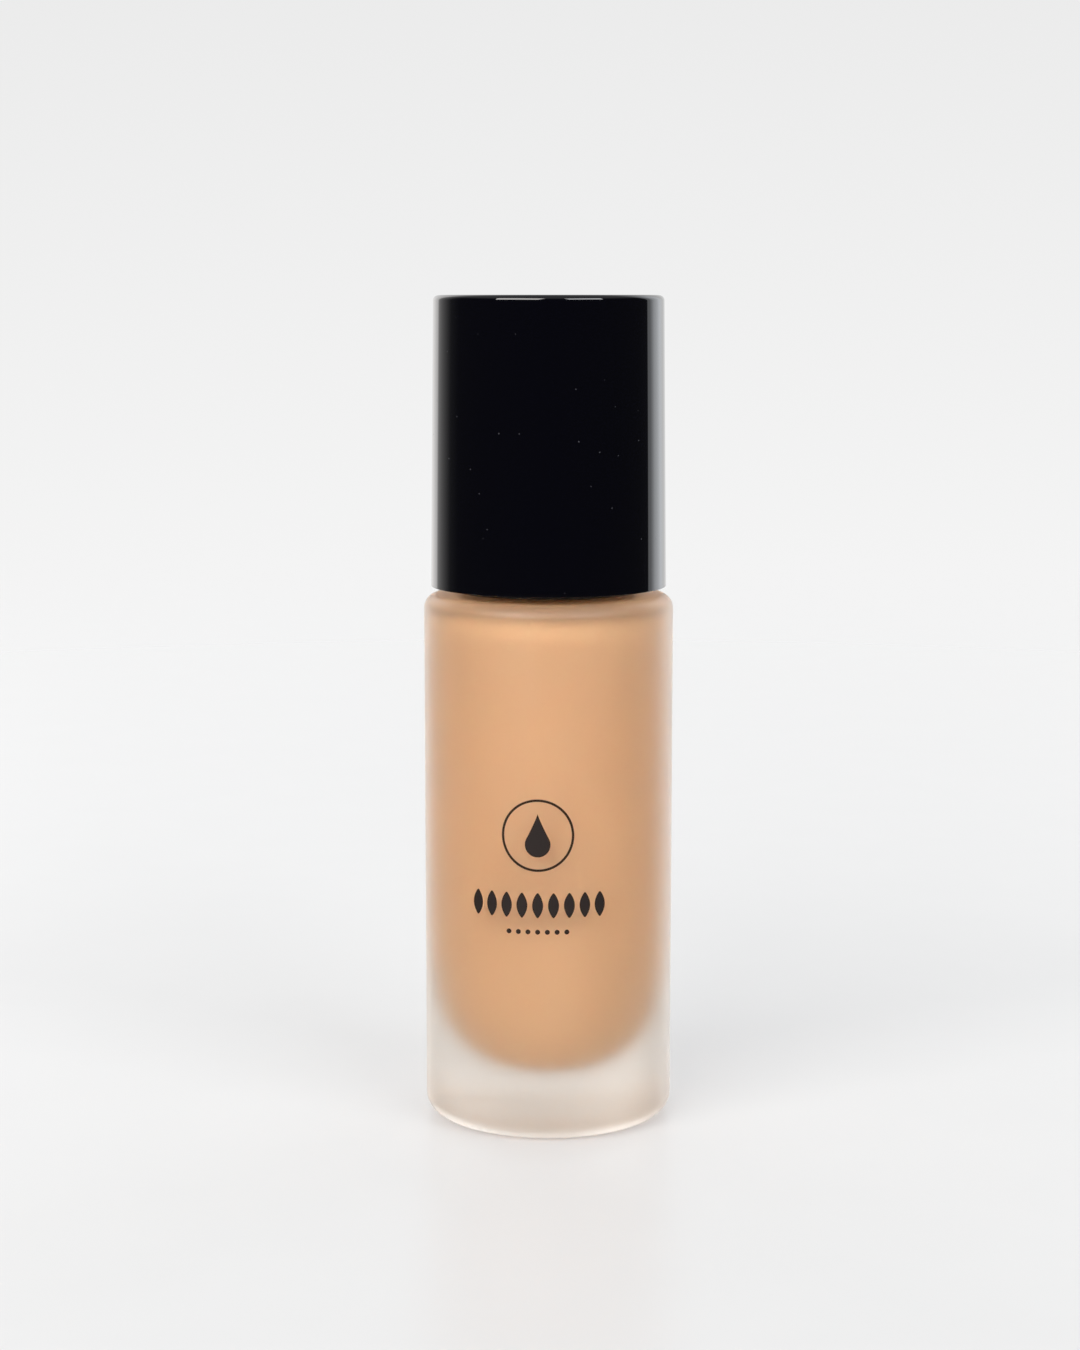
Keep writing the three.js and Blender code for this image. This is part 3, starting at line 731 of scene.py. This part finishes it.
def closure_swell(radius, height, angle):
    """The female thread inside and the grip ribs outside."""
    if abs(radius - closure_bore) < 0.01:
        rise = thread_rise(height, angle, closure_thread_start, 1.3, 0.7)
        return -(closure_bore - neck_radius - 0.3) * rise
    return closure_grip(radius, height, angle)


closure_grip = ribbed(closure_radius, 1.15, closure_ribs, 0.8, closure_foot + 0.6, closure_head - 0.6)
thread_band = column(0, closure_thread_start - 1.2, closure_thread_start + 6.4, THREAD_ROW)
closure_outline = with_rows(rounded([
    (closure_radius, closure_foot, 0.2),
    (closure_radius, closure_head, 0.3),
    (closure_hole, closure_head, 0.15),
    (closure_hole, closure_ceiling),
    (closure_bore, closure_ceiling, 0.2),
    (closure_bore, closure_foot, 0.2),
]), closure_bore, [z for _, z in thread_band])
closure_outline = with_rows(closure_outline, closure_radius, [
    closure_foot + 0.5, closure_foot + 0.9, closure_head - 0.9, closure_head - 0.5,
])
closure = sealed("screw_closure_moulded", spun(closure_outline, 240, closure_swell))
# White polypropylene: a clean satin white with a little depth.
white_pp = moulded("white_polypropylene", "#EFEDE7", "#F5F3EE", 0.42, milky=0.1)
closure.data.materials.append(white_pp)
belongs(closure, "closure", "white_pp", "screw_closure")

# ------------------------------------------------------------------ neck gasket
# A die-cut ring of foamed polyethylene between the glass lip and the pump's
# flange. It seals when the closure is screwed down.
gasket_low, gasket_high = (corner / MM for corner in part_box("neck_gasket"))
gasket_bore = 5.3
gasket = sealed("neck_gasket_foam", spun(rounded([
    (gasket_high.x, gasket_low.z, 0.12),
    (gasket_high.x, gasket_high.z, 0.12),
    (gasket_bore, gasket_high.z, 0.12),
    (gasket_bore, gasket_low.z, 0.12),
])))

# Closed-cell foam: a matt white skin with fine open pores along the cut edge. Each pore is painted darker
# towards its bottom, a painted shade in the pits.
foam, tree = material("closed_cell_foam")
place = in_mm(tree)
pores = add(tree, "TexVoronoi", {"Vector": place, "Scale": 4.0})
# Painted shade: the colour darkens towards the bottom of each pore, following the bump's pits.
pit_painted_shade = add(tree, "Mix", {
    "Factor": pores.outputs["Distance"], "A": colour("#DCDAD4"), "B": colour("#F6F5F2"),
}, data_type="RGBA")
pore_bump = add(tree, "Bump", {"Height": pores.outputs["Distance"], "Strength": 0.5, "Distance": 0.08 * MM})
surface = add(tree, "BsdfPrincipled", {
    "Base Color": pit_painted_shade.outputs["Result"],
    "Roughness": 0.85,
    "IOR": 1.3,
    "Normal": pore_bump.outputs[0],
})
add(tree, "OutputMaterial", {"Surface": surface.outputs[0]})
gasket.data.materials.append(foam)
belongs(gasket, "pump", "pe_foam", "neck_gasket")

# ------------------------------------------------------------------ pump housing
# The pump's body, moulded in natural polypropylene: a flange on the neck, a
# barrel, a spring ledge, the ball's chamber with its conical seat, and a socket.
flange_low, flange_high = (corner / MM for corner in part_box("pump_housing"))
flange_radius = flange_high.x
flange_head = flange_high.z
flange_foot = flange_head - 1.2
barrel_bore = 3.4
barrel_radius = barrel_bore + 1.0
spring_low, spring_high = (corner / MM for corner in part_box("return_spring"))
retainer_low, retainer_high = (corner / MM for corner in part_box("ball_retainer"))
ledge = retainer_low.z - 0.1
ball_low, ball_high = (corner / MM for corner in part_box("check_ball"))
ball_radius = (ball_high.z - ball_low.z) / 2
ball_centre = (ball_high.z + ball_low.z) / 2
chamber_radius = ball_radius + 0.5
inlet_radius = 0.9
seat_tip = ball_centre - 0.1 - ball_radius * math.sqrt(2)
seat_head = seat_tip + chamber_radius
seat_foot = seat_tip + inlet_radius
tube_low, tube_high = (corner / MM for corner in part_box("dip_tube"))
tube_radius = tube_high.x
socket_head = tube_high.z + 0.1
socket_foot = flange_low.z
socket_bore = tube_radius + 0.25
socket_radius = socket_bore + 1.0
seal_low, seal_high = (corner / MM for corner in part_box("piston_seal"))


def laid_forward(mesh, height):
    """Lays an upright mesh along -Y, so that its heights become distances from the axis."""
    for corner in mesh.verts:
        x, y, z = corner.co
        corner.co = (x, -z, height + y)
    return mesh


def carved(piece, tools, operation="DIFFERENCE"):
    """Cuts tools out of a piece, or joins them to it, and clears the tools away."""
    for tool in tools:
        step = piece.modifiers.new("carve", "BOOLEAN")
        step.object = tool
        step.operation = operation
        step.solver = "EXACT"
    graph = bpy.context.evaluated_depsgraph_get()
    data = bpy.data.meshes.new_from_object(piece.evaluated_get(graph))
    piece.modifiers.clear()
    for tool in tools:
        bpy.data.objects.remove(tool)
    piece.data = data
    data.shade_smooth()
    data.set_sharp_from_angle(angle=math.radians(32))
    return piece


def drill(radius, start, end, height, turns=24):
    """A round cutter laid forward, between two distances from the axis."""
    corners = [(0, start), (radius, start), (radius, end), (0, end)]
    return sealed("drill", laid_forward(spun(corners, turns), height))


vent_radius = 0.4
vent = drill(vent_radius, barrel_bore - 1, barrel_radius + 1, (seal_low.z + seal_high.z) / 2)
housing = carved(sealed("pump_housing_moulded", spun(rounded([
    (flange_radius, flange_foot, 0.15),
    (flange_radius, flange_head, 0.15),
    (barrel_bore, flange_head, 0.2),
    (barrel_bore, ledge),
    (chamber_radius, ledge, 0.15),
    (chamber_radius, seat_head),
    (inlet_radius, seat_foot, 0.1),
    (inlet_radius, socket_head),
    (socket_bore, socket_head),
    (socket_bore, socket_foot, 0.2),
    (socket_radius, socket_foot, 0.3),
    (socket_radius, seat_foot, 0.6),
    (barrel_radius, seat_head, 0.6),
    (barrel_radius, flange_foot, 0.3),
]))), [vent])
# Natural polypropylene: cloudy and see-through, so what is inside shows as a shade.
natural_pp = moulded("natural_polypropylene", "#E3E5E1", "#ECEDEA", 0.3, see_through=0.55, milky=0.1)
housing.data.materials.append(natural_pp)
belongs(housing, "pump", "natural_pp", "pump_housing")

# ------------------------------------------------------------------ chaplet
# A white polypropylene guide pressed into the barrel's mouth. It keeps the
# pump's inside together, and the stem slides through it.
stem_low, stem_high = (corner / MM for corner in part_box("stem"))
stem_radius = stem_high.x
chaplet_low, chaplet_high = (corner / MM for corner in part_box("chaplet"))
chaplet_bore = stem_radius + 0.3
chaplet_skirt = chaplet_bore + 0.55
chaplet_boss = chaplet_bore + 1.2
chaplet_flange_foot = flange_head + 0.1
chaplet_flange_head = chaplet_flange_foot + 1.2

chaplet = sealed("chaplet_moulded", spun(rounded([
    (chaplet_skirt, chaplet_low.z, 0.15),
    (chaplet_skirt, chaplet_flange_foot),
    (chaplet_high.x, chaplet_flange_foot, 0.2),
    (chaplet_high.x, chaplet_flange_head, 0.2),
    (chaplet_boss, chaplet_flange_head, 0.3),
    (chaplet_boss, chaplet_high.z, 0.3),
    (chaplet_bore, chaplet_high.z, 0.2),
    (chaplet_bore, chaplet_low.z, 0.15),
])))
chaplet.data.materials.append(white_pp)
belongs(chaplet, "pump", "white_pp", "chaplet")

# ------------------------------------------------------------------ dip tube
# Extruded natural polyethylene, pushed into the housing's socket. Its lower end
# is cut at a slant so that it can't close itself against the floor.
tube_bore = tube_radius - 0.5
tube_slant = 0.6
tube_mesh = spun([
    (tube_radius, tube_low.z),
    (tube_radius, tube_high.z),
    (tube_bore, tube_high.z),
    (tube_bore, tube_low.z),
], 64)
for corner in tube_mesh.verts:
    if corner.co.z < tube_low.z + 1:
        corner.co.z += (tube_radius + corner.co.x) * math.tan(tube_slant)
dip_tube = sealed("dip_tube_extruded", tube_mesh)
# Natural polyethylene: a little clearer and smoother than the housing.
natural_pe = moulded("natural_polyethylene", "#E9EBE8", "#F1F2EF", 0.26, see_through=0.6, milky=0.1)
dip_tube.data.materials.append(natural_pe)
belongs(dip_tube, "pump", "natural_pe", "dip_tube")

# ------------------------------------------------------------------ ball retainer
# A small moulded disc under the spring, with a hole and four slots, so that the
# liquid gets past while the ball stays in its chamber.
retainer_bore = 1.0
slot_width = 0.8
slot_length = 1.5
slot_middle = 1.25  # from the axis
slot_corner = 0.35
slot_height = (retainer_low.z + retainer_high.z) / 2
slot_tools = []
for k in range(4):
    angle = (k + 0.5) * math.pi / 2
    tool = bmesh.new()
    bmesh.ops.create_cube(tool, size=1.0)
    bmesh.ops.scale(tool, vec=(slot_length, slot_width, 3.0), verts=tool.verts)
    bmesh.ops.bevel(tool, geom=[e for e in tool.edges if abs(e.verts[0].co.z - e.verts[1].co.z) > 1],
                    offset=slot_corner, segments=4, affect="EDGES")
    bmesh.ops.translate(tool, vec=(slot_middle, 0, slot_height), verts=tool.verts)
    for corner in tool.verts:
        x, y, z = corner.co
        along = x * math.cos(angle) - y * math.sin(angle)
        across = x * math.sin(angle) + y * math.cos(angle)
        corner.co = (along, across, z)
    slot_tools.append(sealed("slot_tool", tool))
retainer = carved(sealed("ball_retainer_moulded", spun(rounded([
    (retainer_high.x, retainer_low.z, 0.15),
    (retainer_high.x, retainer_high.z, 0.15),
    (retainer_bore, retainer_high.z, 0.1),
    (retainer_bore, retainer_low.z, 0.1),
]))), slot_tools)
retainer.data.materials.append(white_pp)
belongs(retainer, "pump", "white_pp", "ball_retainer")

# ------------------------------------------------------------------ check ball
# A ground stainless-steel ball on a conical seat. It closes the inlet on the
# down stroke and lifts on the up stroke.
ball_mesh = bmesh.new()
bmesh.ops.create_icosphere(ball_mesh, subdivisions=4, radius=ball_radius)
bmesh.ops.translate(ball_mesh, vec=(0, 0, ball_centre), verts=ball_mesh.verts)
ball = sealed("check_ball_ground", ball_mesh)


def steel(name, low, high, blur, grain, stretch):
    """Stainless steel: a grey mirror that fine working marks soften along one way."""
    made, tree = material(name)
    place = in_mm(tree)
    lay = add(tree, "Mapping", {"Vector": place, "Scale": (1.0, 1.0, stretch)})
    marks = add(tree, "TexNoise", {"Vector": lay.outputs[0], "Scale": grain, "Detail": 4.0})
    shade = add(tree, "Mix", {
        "Factor": marks.outputs["Fac"], "A": colour(low), "B": colour(high),
    }, data_type="RGBA")
    rough = add(tree, "MapRange", {
        "Value": marks.outputs["Fac"], "To Min": blur - 0.05, "To Max": blur + 0.08,
    })
    surface = add(tree, "BsdfPrincipled", {
        "Base Color": shade.outputs["Result"], "Metallic": 1.0, "Roughness": rough.outputs[0],
    })
    add(tree, "OutputMaterial", {"Surface": surface.outputs[0]})
    return made


# Ground stainless steel: bright, with faint marks that run in no one direction.
ground_steel = steel("ground_stainless_steel", "#B4B6BA", "#C6C8CB", 0.12, 3.0, 1.0)
ball.data.materials.append(ground_steel)
belongs(ball, "ball", "steel_ball", "check_ball")

# ------------------------------------------------------------------ return spring
# A stainless compression spring, coiled from 0.5 mm wire, with its end turns
# closed. It pushes the rod and the button up, and shortens with the stroke.
wire = 0.5
coil_turns = 6.5
coil_radius = (spring_high.x - spring_low.x) / 2 - wire / 2
coil_foot = spring_low.z + wire / 2
coil_head = spring_high.z - wire / 2
closed_rise = wire + 0.075
coil_steps = 40  # in one turn
coil_sides = 12


def coil_height(share):
    closed = 1 / coil_turns
    open_share = min(1.0, max(0.0, (share - closed) / (1 - 2 * closed)))
    ends = min(share, closed) + max(0.0, share - 1 + closed)
    return coil_foot + open_share * (coil_head - coil_foot - 2 * closed_rise) + ends / closed * closed_rise


coil_mesh = bmesh.new()
count = round(coil_turns * coil_steps)
coil_rings = []
for i in range(count + 1):
    angle = 2 * math.pi * coil_turns * i / count
    height = coil_height(i / count)
    ring = []
    for k in range(coil_sides):
        turn = 2 * math.pi * k / coil_sides
        reach = coil_radius + wire / 2 * math.cos(turn)
        ring.append(coil_mesh.verts.new((
            reach * math.cos(angle), reach * math.sin(angle), height + wire / 2 * math.sin(turn),
        )))
    coil_rings.append(ring)
for low, high in zip(coil_rings, coil_rings[1:]):
    for k in range(coil_sides):
        n = (k + 1) % coil_sides
        coil_mesh.faces.new([low[k], low[n], high[n], high[k]])
coil_mesh.faces.new(coil_rings[0])
coil_mesh.faces.new(coil_rings[-1])
spring = sealed("return_spring_coiled", coil_mesh, sharp=50)
# Drawn stainless wire: greyer and more blurred than the ball.
drawn_steel = steel("drawn_stainless_wire", "#A9ABAF", "#C0C2C5", 0.2, 2.0, 3.0)
spring.data.materials.append(drawn_steel)
belongs(spring, "pump", "spring_steel", "return_spring")
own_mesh(spring)

# ------------------------------------------------------------------ piston seal
# A soft polyethylene cup that slides in the barrel. Both ends have a thin lip,
# and it slips a little on the rod to open and close the ports.
rod_low, rod_high = (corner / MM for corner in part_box("piston_rod"))
rod_radius = 1.45
seal_lip = 0.5
seal_outer = seal_high.x
seal_inner = rod_radius + 0.18
seal = sealed("piston_seal_moulded", spun([
    (seal_outer, seal_low.z),
    (seal_outer, seal_low.z + seal_lip),
    (seal_outer - seal_lip, seal_low.z + 2 * seal_lip),
    (seal_outer - seal_lip, seal_high.z - 2 * seal_lip),
    (seal_outer, seal_high.z - seal_lip),
    (seal_outer, seal_high.z),
    (seal_outer - seal_lip / 2, seal_high.z),
    (seal_inner + seal_lip, seal_high.z - 2 * seal_lip),
    (seal_inner + seal_lip, seal_high.z),
    (seal_inner, seal_high.z),
    (seal_inner, seal_low.z),
]))
# Soft polyethylene: waxy and slightly warm, with light just under the skin.
soft_pe = moulded("soft_polyethylene", "#F4F1E8", "#FAF8F1", 0.5, ior=1.51, milky=0.3)
seal.data.materials.append(soft_pe)
belongs(seal, "piston", "seal_pe", "piston_seal")

# ------------------------------------------------------------------ piston rod
# A hollow white rod with a flange for the seal and the spring, a spigot inside
# the spring, and two side ports just above the flange.
rod_bore = 0.8
rod_flange_radius = rod_high.x
rod_flange_head = seal_low.z - 0.1
rod_flange_foot = rod_flange_head - 1.2
rod_spigot = 1.5
port_radius = 0.45
port_height = seal_low.z + port_radius + 0.25
ports = drill(port_radius, -2 * rod_radius, 2 * rod_radius, port_height)
rod = carved(sealed("piston_rod_moulded", spun(rounded([
    (0, rod_low.z),
    (rod_spigot, rod_low.z, 0.3),
    (rod_spigot, rod_flange_foot, 0.15),
    (rod_flange_radius, rod_flange_foot, 0.12),
    (rod_flange_radius, rod_flange_head, 0.12),
    (rod_radius, rod_flange_head),
    (rod_radius, rod_high.z, 0.15),
    (rod_bore, rod_high.z),
    (rod_bore, port_height - port_radius),
    (0, port_height - port_radius),
]))), [ports])
rod.data.materials.append(white_pp)
belongs(rod, "plunger", "white_pp", "piston_rod")

# ------------------------------------------------------------------ stem
# The tube that comes out of the pump, in white polypropylene. The rod is pressed
# into its foot, and the button turns with it.
stem_bore = 1.1
rod_socket = rod_radius + 0.25
stem = sealed("stem_moulded", spun(rounded([
    (stem_radius, stem_low.z, 0.15),
    (stem_radius, stem_high.z, 0.3),
    (stem_bore, stem_high.z, 0.1),
    (stem_bore, rod_high.z + 0.1),
    (rod_socket, rod_high.z + 0.1),
    (rod_socket, stem_low.z, 0.1),
])))
stem.data.materials.append(white_pp)
belongs(stem, "actuator", "white_pp", "stem")

# ------------------------------------------------------------------ press button
# The actuator head, one moulding in black ABS: a dished top for the finger, an
# open skirt, a socket on the stem and a short spout that points forward.
head_low, head_high = (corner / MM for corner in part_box("actuator_head"))
button_radius = head_high.x
button_foot = head_low.z
button_head = head_high.z
spout_reach = -head_low.y
button_fillet = 1.2
button_wall = 1.1
button_dish = 0.9
dish_radius = button_radius - button_fillet - 0.4
dish_steps = 14
skirt_ceiling = button_head - 7.6
stem_socket_bore = stem_radius + 0.25
stem_socket_radius = stem_socket_bore + 1.1
stem_socket_head = stem_high.z + 0.1
stem_socket_foot = stem_socket_head - 3.2
spout_height = button_head - 4.2
spout_radius = 2.1
channel_radius = 0.8
insert_radius = 1.2
insert_length = 4.4
insert_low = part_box("nozzle_insert")[0] / MM
insert_seat = spout_reach - insert_length - 0.1

button_outline = rounded([
    (0, spout_height + channel_radius),
    (channel_radius, spout_height + channel_radius),
    (channel_radius, stem_socket_head),
    (stem_socket_bore, stem_socket_head),
    (stem_socket_bore, stem_socket_foot, 0.2),
    (stem_socket_radius, stem_socket_foot, 0.2),
    (stem_socket_radius, skirt_ceiling, 0.4),
    (button_radius - button_wall, skirt_ceiling, 0.4),
    (button_radius - button_wall, button_foot, 0.25),
    (button_radius, button_foot, 0.25),
    (button_radius, button_head, button_fillet),
    (dish_radius, button_head),
])
for k in range(1, dish_steps + 1):
    share = 1 - k / dish_steps
    drop = button_dish * (1 - share * share) ** 1.3
    button_outline.append((dish_radius * share, button_head - drop))
spout = sealed("spout_tool", laid_forward(spun(rounded([
    (0, button_radius - 2 * button_wall),
    (spout_radius, button_radius - 2 * button_wall),
    (spout_radius, spout_reach, 0.3),
    (0, spout_reach),
]), 64), spout_height))
bores = [
    drill(radius, start, spout_reach + 1, spout_height, 48)
    for radius, start in ((insert_radius + 0.25, insert_seat), (channel_radius, 0))
]
button = sealed("press_button_gloss", spun(button_outline, 128))
button = carved(button, [spout], "UNION")
button = carved(button, bores)
button.data.materials.append(polished_abs)
belongs(button, "actuator", "black_gloss", "actuator_head")

# ------------------------------------------------------------------ nozzle insert
# A short outlet tube in black polypropylene, pressed into the spout. Its bore
# sets how thick the bead of foundation is.
insert_bore = 0.5
nozzle = sealed("nozzle_insert_moulded", laid_forward(spun(rounded([
    (insert_radius, spout_reach - insert_length, 0.15),
    (insert_radius, -insert_low.y, 0.15),
    (insert_bore, -insert_low.y, 0.15),
    (insert_bore, spout_reach - insert_length, 0.1),
]), 64), spout_height))
nozzle.data.materials.append(black_pp)
belongs(nozzle, "actuator", "black_liner", "nozzle_insert")

# ------------------------------------------------------------------ table and light
# A lit pale sheet that fades into a pale room, and two large soft boxes above
# the front. The room has a bright card behind each side and is dark in front.
TABLE_CENTRE = 0.04  # metres behind the bottle
TABLE_SOLID = 0.1
TABLE_END = 0.8

table_mesh = bmesh.new()
bmesh.ops.create_circle(table_mesh, cap_ends=True, segments=128, radius=TABLE_END)
table_data = bpy.data.meshes.new("table")
table_mesh.to_mesh(table_data)
table_mesh.free()
table = bpy.data.objects.new("table", table_data)
table.location = (0.0, TABLE_CENTRE, -0.0001)
bpy.context.scene.collection.objects.link(table)
table.visible_glossy = False

# Opal acrylic sheet lit from below: even, pale and almost without shadows, with
# a weak blurred reflection.
acrylic, tree = material("lit_opal_acrylic")
place = add(tree, "TexCoord").outputs["Object"]
far = add(tree, "VectorMath", {0: place}, operation="LENGTH")
fade = add(tree, "MapRange", {
    "Value": far.outputs["Value"], "From Min": TABLE_SOLID, "From Max": TABLE_END,
}, interpolation_type="SMOOTHSTEP")
speck = add(tree, "TexNoise", {"Vector": place, "Scale": 60.0, "Detail": 3.0})
board_shade = add(tree, "Mix", {
    "Factor": speck.outputs["Fac"], "A": colour("#9E9E9D"), "B": colour("#A1A1A0"),
}, data_type="RGBA")
board = add(tree, "BsdfPrincipled", {
    "Base Color": board_shade.outputs["Result"],
    "Roughness": 0.3,
    "Specular IOR Level": 0.12,
    "Emission Color": colour("#FBFCFF"),
    "Emission Strength": 0.375,
})
clear = add(tree, "BsdfTransparent")
faded = add(tree, "MixShader", {0: fade.outputs[0], 1: board.outputs[0], 2: clear.outputs[0]})
add(tree, "OutputMaterial", {"Surface": faded.outputs[0]})
table.data.materials.append(acrylic)

# The room: pale where it is looked at. As a light it is dark in front, with a
# bright card behind the left side and a soft light behind the right side.
ROOM_PEAK = 2.5
ROOM_ABOVE = 0.5
ROOM_COOL = (0.97, 1.0, 1.04)
ROOM_WARM = (1.02, 1.0, 0.99)
ROOM_STEPS = [  # degrees to the right of straight behind, brightness
    (-180, 0.03), (-80, 0.04), (-67, 0.1), (-58, 0.34), (-49, 0.57), (-41, 0.8), (-37, 1.86),
    (-28, 1.8), (-18, 1.5), (-10, 1.1), (10, 1.0), (16, 1.2), (26, 1.4), (38, 2.2), (52, 2.0),
    (61, 0.9), (65, 0.95), (65.8, 0.05), (80, 0.04), (180, 0.03),
]
room = bpy.data.worlds.new("room")
room.use_nodes = True
bpy.context.scene.world = room
tree = room.node_tree
tree.nodes.clear()
way = add(tree, "SeparateXYZ", {0: add(tree, "TexCoord").outputs["Generated"]})
bearing = add(tree, "Math", {0: way.outputs["X"], 1: way.outputs["Y"]}, operation="ARCTAN2")
turn = add(tree, "MapRange", {"Value": bearing.outputs[0], "From Min": -math.pi, "From Max": math.pi})
ring_light = add(tree, "ValToRGB", {"Fac": turn.outputs[0]})
steps = ring_light.color_ramp.elements
while len(steps) > 1:
    steps.remove(steps[-1])
for k, (degrees, bright) in enumerate(ROOM_STEPS):
    step = steps[0] if k == 0 else steps.new((degrees + 180) / 360)
    step.position = (degrees + 180) / 360
    tint = (1.0, 1.0, 1.0)
    if 30 < degrees < 66:
        tint = ROOM_COOL
    elif -60 < degrees < -10:
        tint = ROOM_WARM
    step.color = [bright / ROOM_PEAK * channel for channel in tint] + [1.0]
above = add(tree, "MapRange", {"Value": way.outputs["Z"], "From Min": 0.5, "From Max": 0.8})
dome = add(tree, "Mix", {
    "Factor": above.outputs[0], "A": ring_light.outputs["Color"], "B": [ROOM_ABOVE / ROOM_PEAK] * 3 + [1.0],
}, data_type="RGBA")
lighting = add(tree, "Background", {"Color": dome.outputs["Result"], "Strength": ROOM_PEAK})
seen_shade = add(tree, "ValToRGB", {"Fac": add(tree, "MapRange", {
    "Value": way.outputs["Z"], "From Min": -0.15, "From Max": 0.12,
}).outputs[0]})
seen_shade.color_ramp.elements[0].color = colour("#F6F6F6")
seen_shade.color_ramp.elements[1].color = colour("#EBEBEB")
seen = add(tree, "Background", {"Color": seen_shade.outputs["Color"], "Strength": 1.0})
looked_at = add(tree, "LightPath").outputs["Is Camera Ray"]
both = add(tree, "MixShader", {0: looked_at, 1: lighting.outputs[0], 2: seen.outputs[0]})
add(tree, "OutputWorld", {"Surface": both.outputs[0]})

AIM_HEIGHT = 0.055


def soft_light(name, place, width, height, watts, shade):
    """A soft box that looks at the middle of the bottle."""
    data = bpy.data.lights.new(name, "AREA")
    data.shape = "RECTANGLE"
    data.size = width
    data.size_y = height
    data.energy = watts
    data.color = colour(shade)[:3]
    made = bpy.data.objects.new(name, data)
    made.location = place
    aim = (-place[0], -place[1], AIM_HEIGHT - place[2])
    flat = math.hypot(aim[0], aim[1])
    made.rotation_euler = (math.atan2(flat, -aim[2]), 0.0, math.atan2(aim[1], aim[0]) - math.pi / 2)
    made.visible_camera = False
    bpy.context.scene.collection.objects.link(made)


soft_light("left_soft_box", (-1.1, -1.7, 1.5), 1.9, 1.1, 62.0, "#FFFDFA")
soft_light("right_soft_box", (1.3, -1.6, 1.5), 1.5, 0.8, 34.0, "#FBFDFF")
bpy.context.scene.view_settings.view_transform = "Standard"
